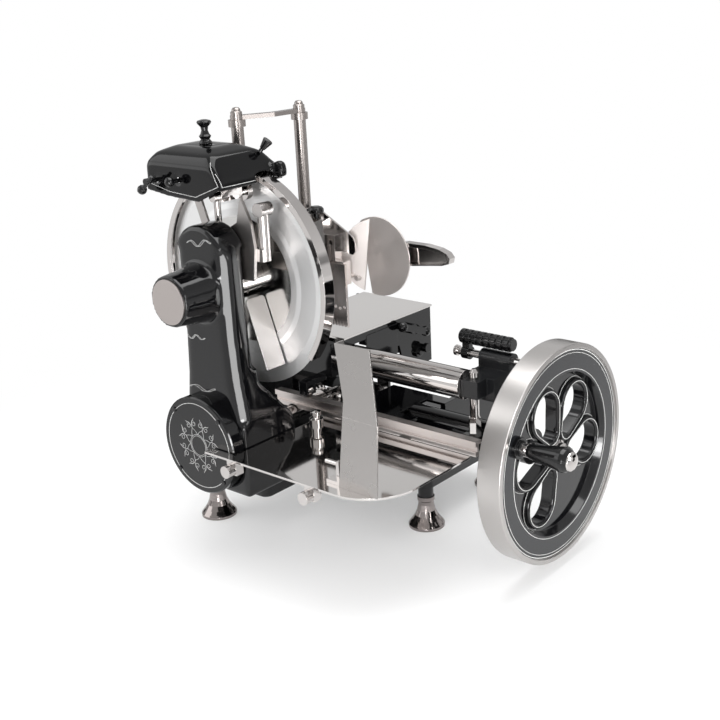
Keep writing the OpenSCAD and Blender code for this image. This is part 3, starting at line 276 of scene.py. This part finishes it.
def on_surface(skin, origin, way):
    """The point where a straight line from origin meets a casting, or None."""
    paint = 0.05  # mm thick
    hit = skin.ray_cast(Vector(origin), Vector(way))
    return hit[0] + hit[1] * paint * MM if hit[0] else None


# silver lining paint: a pale matt hair line on the enamel
silver_line = lining_paint("silver_lining_paint", "#b9b9b8", grain=12)

# each wave: its two ends (x and z), its height in mm and its number of humps
wave_marks = [(-196, 480, -146, 485, 5, 1.5),
              (-222, 341, -176, 343, 3.5, 2),
              (-222, 262, -164, 268, 5, 1)]
second_stroke = 0.8  # the brush goes over each wave twice, this much later in its phase
stroke_steps = 40
before_column = -0.32  # the strokes are laid on the casting from here, in metres
column_skin = surface_of(column)
waves = []
for x0, z0, x1, z1, swell, humps in wave_marks:
    for late in (0.0, second_stroke):
        path = []
        for i in range(stroke_steps + 1):
            t = i / stroke_steps
            lift = math.sin(2 * math.pi * humps * t + late) * math.sin(math.pi * t) ** 0.5
            x = x0 + (x1 - x0) * t
            z = z0 + (z1 - z0) * t + swell * lift
            spot = on_surface(column_skin, (x * MM, before_column, z * MM), (0, 1, 0))
            if spot:
                path.append(spot)
        waves.append(path)
thin_line("column_waves", waves, width=0.7, body="frame",
          mat=silver_line)

# ------------------------------------------------------------------ gear cover
# A round iron cover closes the gear case below the column. It is enamelled like
# the column, held by small screws, and lined with a ring and a rosette of loops.

dress(enamel, "gear_cover", "gear_cover_screws")
cover_low, cover_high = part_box("gear_cover")
cover_mid = ((cover_low.x + cover_high.x) / 2, (cover_low.z + cover_high.z) / 2)
cover_face = cover_low.y - 0.1 * MM
edge_ring, inner_ring, loop_root = 64.7, 15, 17.2  # radii in mm
ring_steps = 96


def on_cover(reach, turn, mid=cover_mid):
    """A point of the cover's face, so many mm and radians round a middle."""
    return (mid[0] + reach * MM * math.cos(turn), cover_face,
            mid[1] + reach * MM * math.sin(turn))


def cover_ring(radius):
    """A circle round the middle of the cover's face."""
    return [on_cover(radius, 2 * math.pi * i / ring_steps) for i in range(ring_steps)]


# the rosette has eight pairs of leaning loops, each with a small curl inside it
loop_pairs, loop_steps, curl_steps = 8, 36, 27
loop_length, loop_ease, loop_sag = 25, 0.8, 6  # mm, power, mm
loop_gap, loop_lean, loop_bend = 2, 21, 0.9  # degrees, degrees, share of a half turn
curl_reach, curl_lean, curl_radius = 34, 11.5, 5.2  # mm, degrees, mm
curl_turns, curl_shrink = 1.3, 0.75
rosette = []
for k in range(loop_pairs):
    spoke = math.radians(360 / loop_pairs * k)
    for side in (-1, 1):
        loop = []
        for i in range(loop_steps + 1):
            t = i / loop_steps
            lean = side * (loop_gap + loop_lean * math.sin(math.pi * t * loop_bend))
            sag = loop_sag * math.sin(math.pi * t) * t
            reach = loop_root + loop_length * t ** loop_ease - sag
            loop.append(on_cover(reach, spoke + math.radians(lean)))
        rosette.append(loop)
        at = on_cover(curl_reach, spoke + math.radians(side * curl_lean))
        curl = []
        for i in range(curl_steps + 1):
            t = i / curl_steps
            around = spoke + side * t * 2 * math.pi * curl_turns
            curl.append(on_cover(curl_radius * (1 - curl_shrink * t), around, (at[0], at[2])))
        rosette.append(curl)
thin_line("cover_ring", [cover_ring(edge_ring)], width=1.0, body="frame",
          mat=silver_line, closed=True)
thin_line("cover_rosette_rings", [cover_ring(inner_ring), cover_ring(loop_root)], width=0.6,
          body="frame", mat=silver_line, closed=True)
thin_line("cover_rosette", rosette, width=0.6, body="frame",
          mat=silver_line)

# -------------------------------------------------------------------- boss cap
# The boss on the column's front holds the blade's shaft. A disc of steel, faced on
# a lathe, closes it, and has two small notches in its rim for a pin spanner.

boss_low, boss_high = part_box("boss_cap")
boss_mid = (boss_low + boss_high) / 2


def from_axis(tree, place, centre, across):
    """Nodes that give the offset from a point, and its length across an axis in metres."""
    shift = add(tree, "VectorMath", {"operation": "SUBTRACT", 1: centre}, {0: (place, "Object")})
    flat = add(tree, "VectorMath", {"operation": "MULTIPLY", 1: across}, {0: (shift, 0)})
    away = add(tree, "VectorMath", {"operation": "LENGTH"}, {0: (flat, 0)})
    return shift, away


def turning_marks(tree, away, pitch):
    """Nodes that give the fine rings a lathe or a grinding wheel leaves, so many mm apart."""
    rings = add(tree, "TexNoise", {"noise_dimensions": "1D", "Scale": 1.0, "Detail": 3.0})
    turns = add(tree, "Math", {"operation": "MULTIPLY", 1: per_mm(pitch)}, {0: (away, "Value")})
    join(tree, turns, 0, rings, "W")
    return rings


def faced_steel():
    """Steel faced on a lathe: rings spread its highlight. Real ones are finer than it shows."""
    pitch, depth, rubbed_edge = 1.1, 0.12, 0.5  # mm
    rough = 0.34
    glossy, dull = rough * 0.8, rough * 1.3
    mat, tree, shader, place = start("faced_steel_disc")
    _, away = from_axis(tree, place, list(boss_mid), [1.0, 0.0, 1.0])
    rings = turning_marks(tree, away, pitch)
    edge = add(tree, "Bevel", {"samples": 4, "Radius": rubbed_edge * MM})
    bump = add(tree, "Bump", {"Strength": 0.5, "Distance": depth * MM},
               {"Height": (rings, "Fac"), "Normal": (edge, "Normal")})
    gloss = add(tree, "MapRange", {"To Min": glossy, "To Max": dull}, {"Value": (rings, "Fac")})
    join(tree, bump, "Normal", shader, "Normal")
    join(tree, gloss, "Result", shader, "Roughness")
    shader.inputs["Base Color"].default_value = linear("#b1aaa7")
    shader.inputs["Metallic"].default_value = 1.0
    return mat


dress(faced_steel(), "boss_cap")

# chrome plate on polished steel: the brightest mirror of the machine
chrome = bright_metal("chrome_plate", "#c6c2c0", rough=0.05, grain=4.0, depth=0.01)
notch_in, notch_out, notch_depth = 27.5, 31.0, 0.3  # mm from the middle and from the face
notches = [[(boss_mid.x + side * reach * MM, boss_low.y + notch_depth * MM, boss_mid.z)
            for reach in (notch_in, notch_out)] for side in (-1, 1)]
thin_line("boss_notches", notches, width=0.6, body="frame", mat=chrome)

# -------------------------------------------------------------- tray and panel
# The tray under the blade and the upright panel beside it are sheets of stainless
# steel. Screws with turned heads clamp them to the base.

# stainless sheet polished to a mirror: it shows the machine above it, slightly wavy
mirror = bright_metal("mirror_stainless", "#cac7c5", rough=0.05, grain=30.0, depth=0.01)
# rolled stainless sheet, left as it came from the mill: a soft grey shine
panel_sheet = bright_metal("rolled_stainless", "#a3a09e", rough=0.24, grain=1.0, depth=0.02)
# machined steel under a film of oil: clear but blurred highlights
steel = bright_metal("machined_steel", "#b5b1af", rough=0.16, grain=1.5, depth=0.02)
dress(mirror, "slice_tray")
dress(panel_sheet, "deflector_panel")
dress(chrome, "tray_clamps", "tray_stop_knob")

# the panel is bent a little along a fold that shows as one fine line
panel_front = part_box("deflector_panel")[0].y - 0.05 * MM
fold_ends = [(92.5, 289), (152.5, 288)]  # x and z in mm
thin_line("panel_fold", [[(x * MM, panel_front, z * MM) for x, z in fold_ends]], width=0.5,
          body="frame", mat=steel)

# ----------------------------------------------------------------------- blade
# The blade is a hollow ground disc of tool steel on a plated hub. A ring guard of
# plated steel goes round its edge, and a bracket on the column carries the ring.

blade_low, blade_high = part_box("blade_disc")
blade_mid = (blade_low + blade_high) / 2


def blade_finish():
    """Ground tool steel: a mirror middle, and round it the pale bevel of the grinding wheel."""
    bevel_in, bevel_out = 91, 95  # mm from the axis, where the mirror ends and the bevel begins
    pitch, depth, rubbed_edge = 1.4, 0.015, 0.4  # mm; the real marks are finer, and wouldn't show
    mirror_rough, bevel_rough, marks_rough = 0.08, 0.42, 0.06
    mat, tree, shader, place = start("ground_tool_steel")
    _, away = from_axis(tree, place, list(blade_mid), [1.0, 0.0, 1.0])
    bevel = add(tree, "MapRange", {"interpolation_type": "SMOOTHSTEP", "From Min": bevel_in * MM,
                                   "From Max": bevel_out * MM}, {"Value": (away, "Value")})
    rings = turning_marks(tree, away, pitch)
    tint = add(tree, "Mix", {"data_type": "RGBA", 6: linear("#c9c8c6"), 7: linear("#dedede")},
               {0: (bevel, "Result")})
    rough = add(tree, "Mix", {2: mirror_rough, 3: bevel_rough}, {0: (bevel, "Result")})
    spread = add(tree, "Math", {"operation": "MULTIPLY_ADD", 1: marks_rough},
                 {0: (rings, "Fac"), 2: (rough, 0)})
    edge = add(tree, "Bevel", {"samples": 4, "Radius": rubbed_edge * MM})
    bump = add(tree, "Bump", {"Strength": 0.3, "Distance": depth * MM},
               {"Height": (rings, "Fac"), "Normal": (edge, "Normal")})
    join(tree, tint, 2, shader, "Base Color")
    join(tree, spread, 0, shader, "Roughness")
    join(tree, bump, "Normal", shader, "Normal")
    shader.inputs["Metallic"].default_value = 1.0
    return mat


dress(blade_finish(), "blade_disc")
dress(chrome, "blade_hub", "guard_ring")
# brushed steel plate: its fine scratches blur what it mirrors
plate_sheet = bright_metal("brushed_plate_steel", "#a8a4a2", rough=0.3, grain=1.0, depth=0.02)
dress(plate_sheet, "guard_bracket")

# ------------------------------------------------------------- slice deflector
# A small plate of brushed steel with round corners leads each slice off the blade.
# It stands on a slope, and its long edge almost touches the blade.

plate_top, plate_foot = Vector((-138.5, 0, 394)) * MM, Vector((-104, 0, 293)) * MM
plate_out, plate_in = -188 * MM, -151.2 * MM  # its free edge and the edge by the blade, along Y
top_share, foot_share = 0.06, 0.97  # where the corners' middles lie on the slope
top_round, foot_round = 6 * MM, 2 * MM
plate_thick, plate_edge = 2.4, 0.5
corner_steps = 6
slope = (plate_foot - plate_top).length
outline = []
for y, share, turn in ((plate_out, top_share, math.pi), (plate_in, top_share, 1.5 * math.pi),
                       (plate_in, foot_share, 0.0), (plate_out, foot_share, 0.5 * math.pi)):
    inward = 1 if y == plate_out else -1
    reach = top_round if share == top_share else foot_round
    for i in range(corner_steps + 1):
        a = turn + math.pi / 2 * i / corner_steps
        outline.append((y + inward * reach + reach * math.cos(a),
                        share + reach * math.sin(a) / slope))
plate_mesh = bpy.data.meshes.new("slice_plate")
shell = bmesh.new()
face = shell.faces.new([shell.verts.new(plate_top.lerp(plate_foot, share) + Vector((0, y, 0)))
                        for y, share in outline])
bmesh.ops.recalc_face_normals(shell, faces=[face])
shell.to_mesh(plate_mesh)
shell.free()
plate = link(bpy.data.objects.new("slice_plate", plate_mesh))
thick = plate.modifiers.new("thick", "SOLIDIFY")
thick.thickness = plate_thick * MM
thick.offset = 0
rub = plate.modifiers.new("rub", "BEVEL")
rub.width = plate_edge * MM
rub.segments = 2
plate_mesh.materials.append(plate_sheet)
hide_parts("slice_deflector")
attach(plate, "frame")

# ----------------------------------------------------------------- drive train
# The flywheel's shaft turns a cross shaft through a bevel pair, and spur gears in
# the column turn the blade. They are cut from steel and bronze and run in oil.

# cast bearing bronze, machined and oiled: yellow brown with a soft shine
bronze = bright_metal("bearing_bronze", "#b08b52", rough=0.25, grain=1.5, depth=0.03)
# iron castings painted but not polished: dark grey, half glossy
iron = gloss_enamel("dark_casting", "#0e0f11", "#151618", rough=0.25)
dress(steel, "main_shaft", "cross_shaft", "cross_bevel", "column_gear_1", "column_gear_3",
      "blade_shaft", "shaft_bearings", "idler_pins", "connecting_rod")
dress(bronze, "column_gear_2")
dress(enamel, "shaft_housing")
dress(iron, "frame_brackets", "crank_arm", "tube_end_bracket")

# -------------------------------------------------------------------- flywheel
# The flywheel is cast iron with five openings like petals. Its rim is turned and
# plated satin, and its web is dark enamel with thin white lines. The white line on
# each petal's lip is a painted highlight.

fly_low, fly_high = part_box("flywheel")
fly_mid = (fly_low + fly_high) / 2
fly_axis = [0.0, fly_mid.y, fly_mid.z]


def flywheel_finish():
    """Satin plated rim, a white line inside it, then dark grey enamel and a blacker middle."""
    rim_in, line_at, line_half, step_at = 150.5, 148.9, 0.6, 119  # mm from the axis
    cloud_width, rubbed_edge = 50, 1.0  # mm
    turning_pitch, turning_depth, along = 0.9, 0.05, 0.03  # mm, mm and share; real pitch 0.3
    web_rough, rim_rough = 0.1, 0.3
    mat, tree, shader, place = start("flywheel_enamel_and_rim")
    shift, away = from_axis(tree, place, fly_axis, [0.0, 1.0, 1.0])
    rim = add(tree, "Math", {"operation": "GREATER_THAN", 1: rim_in * MM}, {0: (away, "Value")})
    line = add(tree, "Math", {"operation": "COMPARE", 1: line_at * MM, 2: line_half * MM},
               {0: (away, "Value")})
    cloud = add(tree, "TexNoise", {"Scale": per_mm(cloud_width), "Detail": 3.0},
                {"Vector": (place, "Object")})
    outer = add(tree, "Mix", {"data_type": "RGBA", 6: linear("#18191b"), 7: linear("#1d1e21")},
                {0: (cloud, "Fac")})
    band = add(tree, "Math", {"operation": "GREATER_THAN", 1: step_at * MM}, {0: (away, "Value")})
    web = add(tree, "Mix", {"data_type": "RGBA", 6: linear("#0c0c0e")},
              {0: (band, 0), 7: (outer, 2)})
    lined = add(tree, "Mix", {"data_type": "RGBA", 7: linear("#d8d8d6")},
                {0: (line, 0), 6: (web, 2)})
    whole = add(tree, "Mix", {"data_type": "RGBA", 7: linear("#b9b6b4")},
                {0: (rim, 0), 6: (lined, 2)})
    rough = add(tree, "Mix", {2: web_rough, 3: rim_rough}, {0: (rim, 0)})
    # the turning marks run round the rim, so they are narrow along the axis and long across it
    turned = add(tree, "TexNoise", {"Scale": per_mm(turning_pitch), "Detail": 2.0})
    stretch = add(tree, "VectorMath", {"operation": "MULTIPLY", 1: [1.0, along, along]},
                  {0: (shift, 0)})
    join(tree, stretch, 0, turned, "Vector")
    edge = add(tree, "Bevel", {"samples": 6, "Radius": rubbed_edge * MM})
    grain = add(tree, "Math", {"operation": "MULTIPLY"}, {0: (turned, "Fac"), 1: (rim, 0)})
    bump = add(tree, "Bump", {"Strength": 0.2, "Distance": turning_depth * MM},
               {"Height": (grain, 0), "Normal": (edge, "Normal")})
    join(tree, whole, 2, shader, "Base Color")
    join(tree, rough, 0, shader, "Roughness")
    join(tree, rim, 0, shader, "Metallic")
    join(tree, bump, "Normal", shader, "Normal")
    return mat


dress(flywheel_finish(), "flywheel")
dress(chrome, "flywheel_hub")

# each opening is a wide outer arc and a narrow inner one, joined by straight sides
petal_at, petal_wide, petal_narrow, petal_lean = 75.0, 29.0, 13.0, math.radians(26.25)
petal_in = petal_at - (petal_wide - petal_narrow) / math.sin(petal_lean)
petal_places, closed_place, first_petal = 6, 4, 175  # the last in degrees
arc_steps, wheel_steps = 26, 120


def petal(turn, grow, x):
    """The outline of one opening, grown by so many mm, in the plane x."""
    outer_end, inner_end = math.pi / 2 + petal_lean, 1.5 * math.pi - petal_lean
    flat = []
    for mid, radius, low, high in ((petal_at, petal_wide + grow, -outer_end, outer_end),
                                   (petal_in, petal_narrow + grow, outer_end, inner_end)):
        for i in range(arc_steps + 1):
            a = low + (high - low) * i / arc_steps
            flat.append((mid + radius * math.cos(a), radius * math.sin(a)))
    c, n = math.cos(turn), math.sin(turn)
    return [(x, fly_axis[1] + (u * c - v * n) * MM, fly_axis[2] + (u * n + v * c) * MM)
            for u, v in flat]


def wheel_ring(radius, x):
    """A circle round the flywheel's axis in the plane x."""
    turns = [math.radians(360 / wheel_steps * i) for i in range(wheel_steps)]
    return [(x, fly_axis[1] + radius * MM * math.cos(a), fly_axis[2] + radius * MM * math.sin(a))
            for a in turns]


# a thicker, deeper black on the cast lips round the openings, a painted highlight in white along
# each lip's crest, and white lining by them
web_enamel = gloss_enamel("web_enamel_dark", "#070708", "#0b0b0d")
white_lining_and_highlight = lining_paint("white_lining_and_highlight_paint", "#dcdcda", grain=20)
petals = [math.radians(first_petal - 360 / petal_places * i) for i in range(petal_places)
          if i != closed_place]
lip_grow, lip_width, lip_depth, lip_crest = 3.5, 7.6, 10.6, 3.75  # mm, depth from the wheel's end
outer_grow, outer_depth, line_width = 9.2, 14, 0.8
ring_radii, ring_depth = (121.5, 144.5), 3
lip_x = fly_high.x - lip_depth * MM
thin_line("petal_lips", [petal(a, lip_grow, lip_x) for a in petals], width=lip_width,
          body="flywheel_set", mat=web_enamel, closed=True)
# painted highlight: a thin white line along the crest of each lip stands in for the light it
# catches
thin_line("petal_lip_highlights", [petal(a, lip_grow, lip_x + lip_crest * MM) for a in petals],
          width=line_width, body="flywheel_set", mat=white_lining_and_highlight,
          closed=True)
thin_line("petal_outer_lines",
          [petal(a, outer_grow, fly_high.x - outer_depth * MM) for a in petals],
          width=line_width, body="flywheel_set", mat=white_lining_and_highlight,
          closed=True)
thin_line("wheel_rings", [wheel_ring(r, fly_high.x - ring_depth * MM) for r in ring_radii],
          width=line_width, body="flywheel_set", mat=white_lining_and_highlight,
          closed=True)

# ------------------------------------------------------------------ crank grip
# A tapered grip of black phenolic plastic turns on a steel pin near the flywheel's
# edge. The pin's foot is enamelled with the wheel, and the grip's caps are chromed.

# moulded phenolic plastic, polished by the hand: black, a little softer than enamel
phenolic = gloss_enamel("moulded_phenolic_black", "#060607", "#0c0c0d", rough=0.12)
dress(enamel, "handle_pin")
dress(phenolic, "handle_grip")
dress(chrome, "grip_ferrules")

# ---------------------------------------------------------------------- guides
# The carriage runs on a chromed tube, held up by a short pillar, and on two ground
# steel rails. A ribbed plastic grip on the right sets the slice's thickness.

# ground bar steel: a bright, even and rather blurred shine
rail_steel = bright_metal("ground_rail_steel", "#cac3c0", rough=0.28, grain=1.2, depth=0.02)
dress(chrome, "guide_tube", "tube_pillar")
dress(rail_steel, "guide_rails")
dress(phenolic, "index_grip")

# -------------------------------------------------------------------- carriage
# The carriage is an enamelled casting on rollers, with thin enamelled plates that
# close it below the table. The table is polished stainless steel, moved by a screw.

dress(enamel, "carriage_frame", "carriage_box")
dress(steel, "carriage_rollers")
dress(mirror, "table_top")
dress(phenolic, "feed_crank", "lock_knob")


def sheet_plates(name, boxes, body):
    """Thin enamelled plates, each given in mm by its lowest and its highest corner."""
    rubbed_edge = 0.6  # mm
    corner_sides = ((0, 0, 0), (1, 0, 0), (1, 1, 0), (0, 1, 0),
                    (0, 0, 1), (1, 0, 1), (1, 1, 1), (0, 1, 1))
    face_corners = ((0, 3, 2, 1), (4, 5, 6, 7), (0, 1, 5, 4),
                    (1, 2, 6, 5), (2, 3, 7, 6), (3, 0, 4, 7))
    shell = bmesh.new()
    for low, high in boxes:
        corners = [shell.verts.new([(low, high)[side][k] * MM for k, side in enumerate(sides)])
                   for sides in corner_sides]
        for ids in face_corners:
            shell.faces.new([corners[i] for i in ids])
    mesh = bpy.data.meshes.new(name)
    shell.to_mesh(mesh)
    shell.free()
    mesh.materials.append(enamel)
    thing = link(bpy.data.objects.new(name, mesh))
    rub = thing.modifiers.new("rub", "BEVEL")
    rub.width = rubbed_edge * MM
    rub.segments = 2
    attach(thing, body)


apron = ((-246, -27, 268), (-102, -25, 290.4))
left_plate = ((-259, 26, 232), (-257, 120, 290.4))
right_plate = ((-101.2, 24, 240), (-99.4, 100, 290.4))
rail_plate = ((-307, 52.6, 110.2), (-304, 140, 186))  # stands on the base by the rear rail's end
sheet_plates("carriage_plates", [apron, left_plate, right_plate], "carriage")
sheet_plates("rail_end_plate", [rail_plate], "frame")

# ----------------------------------------------------------------------- press
# Two steel posts on the carriage, joined by a bar at the top, carry the crosshead
# and its arm. On the arm are the toothed plate, the hand guard and a wing handle.

# ground bar steel: darker than the chrome beside it, with soft long highlights
post_steel = bright_metal("ground_post_steel", "#8f8986", rough=0.24, grain=2.0, depth=0.005,
                          round_edge=0.1)
# stainless sheet with a satin face: an even pale shine without a clear image
guard_sheet = bright_metal("satin_guard_sheet", "#d6d0cd", rough=0.5, grain=1.0, depth=0.02)
# stainless plate, brushed and then lightly polished: a blurred image
satin = bright_metal("satin_stainless", "#bfb8b5", rough=0.17, grain=2.0, depth=0.02)
dress(post_steel, "posts", "post_bar", "post_nuts")
dress(chrome, "press_crosshead", "press_arm", "press_handle")
dress(satin, "toothed_plate")
dress(guard_sheet, "hand_guard")
dress(phenolic, "press_knob")

# ------------------------------------------------------------------- sharpener
# The sharpener is a cast hood in black enamel over two small grinding stones in
# plated cups. Its knobs are black plastic, and silver lines follow the hood's edges.

dress(steel, "sharpener_stem")
dress(chrome, "sharpener_carrier", "front_stone", "rear_stone")
dress(phenolic, "hood_knobs")

# the hood's enamel is as deep as the column's, and mirrors the room a little less
hood_enamel = gloss_enamel("hood_enamel_black", "#040405", "#070708", rough=0.08, ior=1.36)
hood_rim = 558.5  # mm; the rim below this height keeps its shape
hood = rub_round("sharpener_hood", "hood_casting", voxel=1.5, passes=110, mat=hood_enamel,
                 crisp=lambda p: p.z < hood_rim * MM)
hood_skin = surface_of(hood)


def hood_line(points, way):
    """A painted line through points in mm, laid on the hood from one side."""
    steps = 12
    path = []
    for a, b in zip(points, points[1:]):
        for i in range(steps + 1):
            spot = on_surface(hood_skin, Vector(a).lerp(Vector(b), i / steps) * MM, way)
            if spot:
                path.append(spot)
    return path


front_line = [(-270, -300, 560), (-262, -300, 557), (-224, -300, 549), (-172, -300, 545.5),
              (-126, -300, 563), (-142, -300, 594)]
side_lines = [[(-80, -228, 562), (-80, -120, 562)], [(-80, -227, 562), (-80, -229, 580)]]
lines = [hood_line(front_line, (0, 1, 0))]
lines += [hood_line(points, (-1, 0, 0)) for points in side_lines]
thin_line("hood_lines", [line for line in lines if len(line) > 1], width=0.9,
          body="sharpener", mat=silver_line)

# ----------------------------------------------------------------------- floor
# The machine stands on a large matt pale board. Near the machine it takes the
# shadow, and further off it is pure white.

floor_half, floor_drop = 8, 0.0005  # metres
floor_mesh = bpy.data.meshes.new("floor")
floor_mesh.from_pydata([(x * floor_half, y * floor_half, -floor_drop)
                        for x, y in ((-1, -1), (1, -1), (1, 1), (-1, 1))], [], [(0, 1, 2, 3)])
floor = link(bpy.data.objects.new("floor", floor_mesh))

shadow_end, white_from, least_glow = 0.35, 1.1, 0.35  # metres, metres and share
floor_mat = bpy.data.materials.new("pale_floor")
floor_mat.use_nodes = True
tree = floor_mat.node_tree
tree.nodes.clear()
matte = add(tree, "BsdfDiffuse", {"Color": linear("#f4f4f4")})
glow = add(tree, "Emission", {"Color": [1, 1, 1, 1], "Strength": 1.0})
place = add(tree, "TexCoord")
away = add(tree, "VectorMath", {"operation": "LENGTH"}, {0: (place, "Object")})
far = add(tree, "MapRange", {"interpolation_type": "SMOOTHSTEP", "From Min": shadow_end,
                             "From Max": white_from, "To Min": least_glow, "To Max": 1.0},
          {"Value": (away, "Value")})
ray = add(tree, "LightPath")
seen = add(tree, "Math", {"operation": "ADD", "use_clamp": True},
           {0: (ray, "Is Camera Ray"), 1: (ray, "Is Glossy Ray")})
seen_or_through = add(tree, "Math", {"operation": "ADD", "use_clamp": True},
                      {0: (seen, 0), 1: (ray, "Is Transmission Ray")})
share = add(tree, "Math", {"operation": "MULTIPLY"}, {0: (seen_or_through, 0), 1: (far, "Result")})
both = add(tree, "MixShader", links={0: (share, 0), 1: (matte, 0), 2: (glow, 0)})
add(tree, "OutputMaterial", links={"Surface": (both, 0)})
floor_mesh.materials.append(floor_mat)

# ------------------------------------------------------------------------ room
# The studio is pale, with a darker band of wall above the floor that gives the
# polished metal its contrast. The camera sees plain white.

room_bands = [(0.0, 0.95), (0.1, 0.9), (0.14, 0.35), (0.2, 0.4), (0.27, 0.95), (0.7, 0.7),
              (1.0, 0.85)]  # height as a sine, and brightness
world = bpy.data.worlds.new("studio")
bpy.context.scene.world = world
world.use_nodes = True
tree = world.node_tree
tree.nodes.clear()
way = add(tree, "TexCoord")
part = add(tree, "SeparateXYZ", links={0: (way, "Generated")})
room = add(tree, "ValToRGB", links={0: (part, "Z")})
for stop, (spot, value) in enumerate(room_bands):
    if stop < 2:
        band = room.color_ramp.elements[stop]
        band.position = spot
    else:
        band = room.color_ramp.elements.new(spot)
    band.color = (value, value, value, 1)
ray = add(tree, "LightPath")
dim = add(tree, "Background", {"Strength": 0.9}, {"Color": (room, "Color")})
white = add(tree, "Background", {"Color": [1, 1, 1, 1], "Strength": 1.0})
both = add(tree, "MixShader", links={0: (ray, "Is Camera Ray"), 1: (dim, 0), 2: (white, 0)})
add(tree, "OutputWorld", links={"Surface": (both, 0)})

# -------------------------------------------------------------- cards and lamps
# Three black cards stand beside the machine, and five soft lamps light it at a
# plain level. The camera sees none of them.


def dark_card(name, corner, opposite):
    """A black card beside the machine that only shows as a dark stripe in bright metal."""
    (x0, y0, z0), (x1, y1, z1) = corner, opposite
    mesh = bpy.data.meshes.new(name)
    mesh.from_pydata([(x0, y0, z0), (x1, y1, z0), (x1, y1, z1), (x0, y0, z1)], [],
                     [(0, 1, 2, 3)])
    card = link(bpy.data.objects.new(name, mesh))
    mat = bpy.data.materials.new(name)
    mat.use_nodes = True
    mat.node_tree.nodes.clear()
    black = add(mat.node_tree, "BsdfDiffuse", {"Color": linear("#0a0a0a")})
    add(mat.node_tree, "OutputMaterial", links={"Surface": (black, 0)})
    mesh.materials.append(mat)
    card.visible_camera = False
    card.visible_diffuse = False
    card.visible_shadow = False


def softbox(name, spot, aim, width, height, watts):
    """A rectangular studio lamp that faces a point on the machine."""
    lamp = bpy.data.lights.new(name, "AREA")
    lamp.shape = "RECTANGLE"
    lamp.size = width
    lamp.size_y = height
    lamp.energy = watts
    thing = bpy.data.objects.new(name, lamp)
    thing.location = spot
    thing.rotation_euler = (Vector(aim) - Vector(spot)).to_track_quat("-Z", "Y").to_euler()
    thing.visible_camera = False
    link(thing)


# cards and lamps are placed in metres
dark_card("right_card", (0.85, 0.3, 0.0), (0.85, 1.5, 0.3))
dark_card("back_card", (-1.51, 0.54, 0.0), (-0.29, 1.58, 0.42))
dark_card("left_card", (-0.95, -0.2, 0.0), (-0.95, 0.9, 0.4))
softbox("key_lamp", (-1.5, -1.3, 1.3), (-0.1, 0, 0.3), width=1.4, height=1.9, watts=13)
softbox("top_lamp", (0.1, 0.1, 2.0), (0, 0, 0.3), width=1.5, height=1.5, watts=28)
softbox("right_lamp", (1.9, -0.5, 0.9), (0.2, 0, 0.3), width=0.6, height=1.2, watts=14)
softbox("front_lamp", (1.15, -1.8, 0.42), (-0.1, -0.2, 0.35), width=0.35, height=0.7, watts=12)
softbox("low_lamp", (0.55, -0.85, 0.18), (-0.13, -0.23, 0.42), width=0.42, height=0.32, watts=4.5)

# ---------------------------------------------------------------------- camera
# The camera stands 1.8 m off at the photograph's angle, above the machine, and
# looks down at it with a slight roll.

camera_spot = (1.0338, -1.2679, 0.8334)
azimuth, tilt, roll = math.radians(40.31), math.radians(18.05), math.radians(-2.52)
forward = Vector((-math.sin(azimuth) * math.cos(tilt), math.cos(azimuth) * math.cos(tilt),
                  -math.sin(tilt)))
level = Vector((math.cos(azimuth), math.sin(azimuth), 0))
upright = level.cross(forward)
right = math.cos(roll) * level + math.sin(roll) * upright
up = -math.sin(roll) * level + math.cos(roll) * upright
lens = bpy.data.cameras.new("camera")
lens.sensor_width = 36
lens.lens = 57.955
lens.shift_x = -0.0347
lens.shift_y = -0.0208
camera = link(bpy.data.objects.new("camera", lens))
camera.matrix_world = (Matrix.Translation(camera_spot)
                       @ Matrix((right, up, -forward)).transposed().to_4x4())
bpy.context.scene.camera = camera
bpy.context.scene.view_settings.view_transform = "Standard"
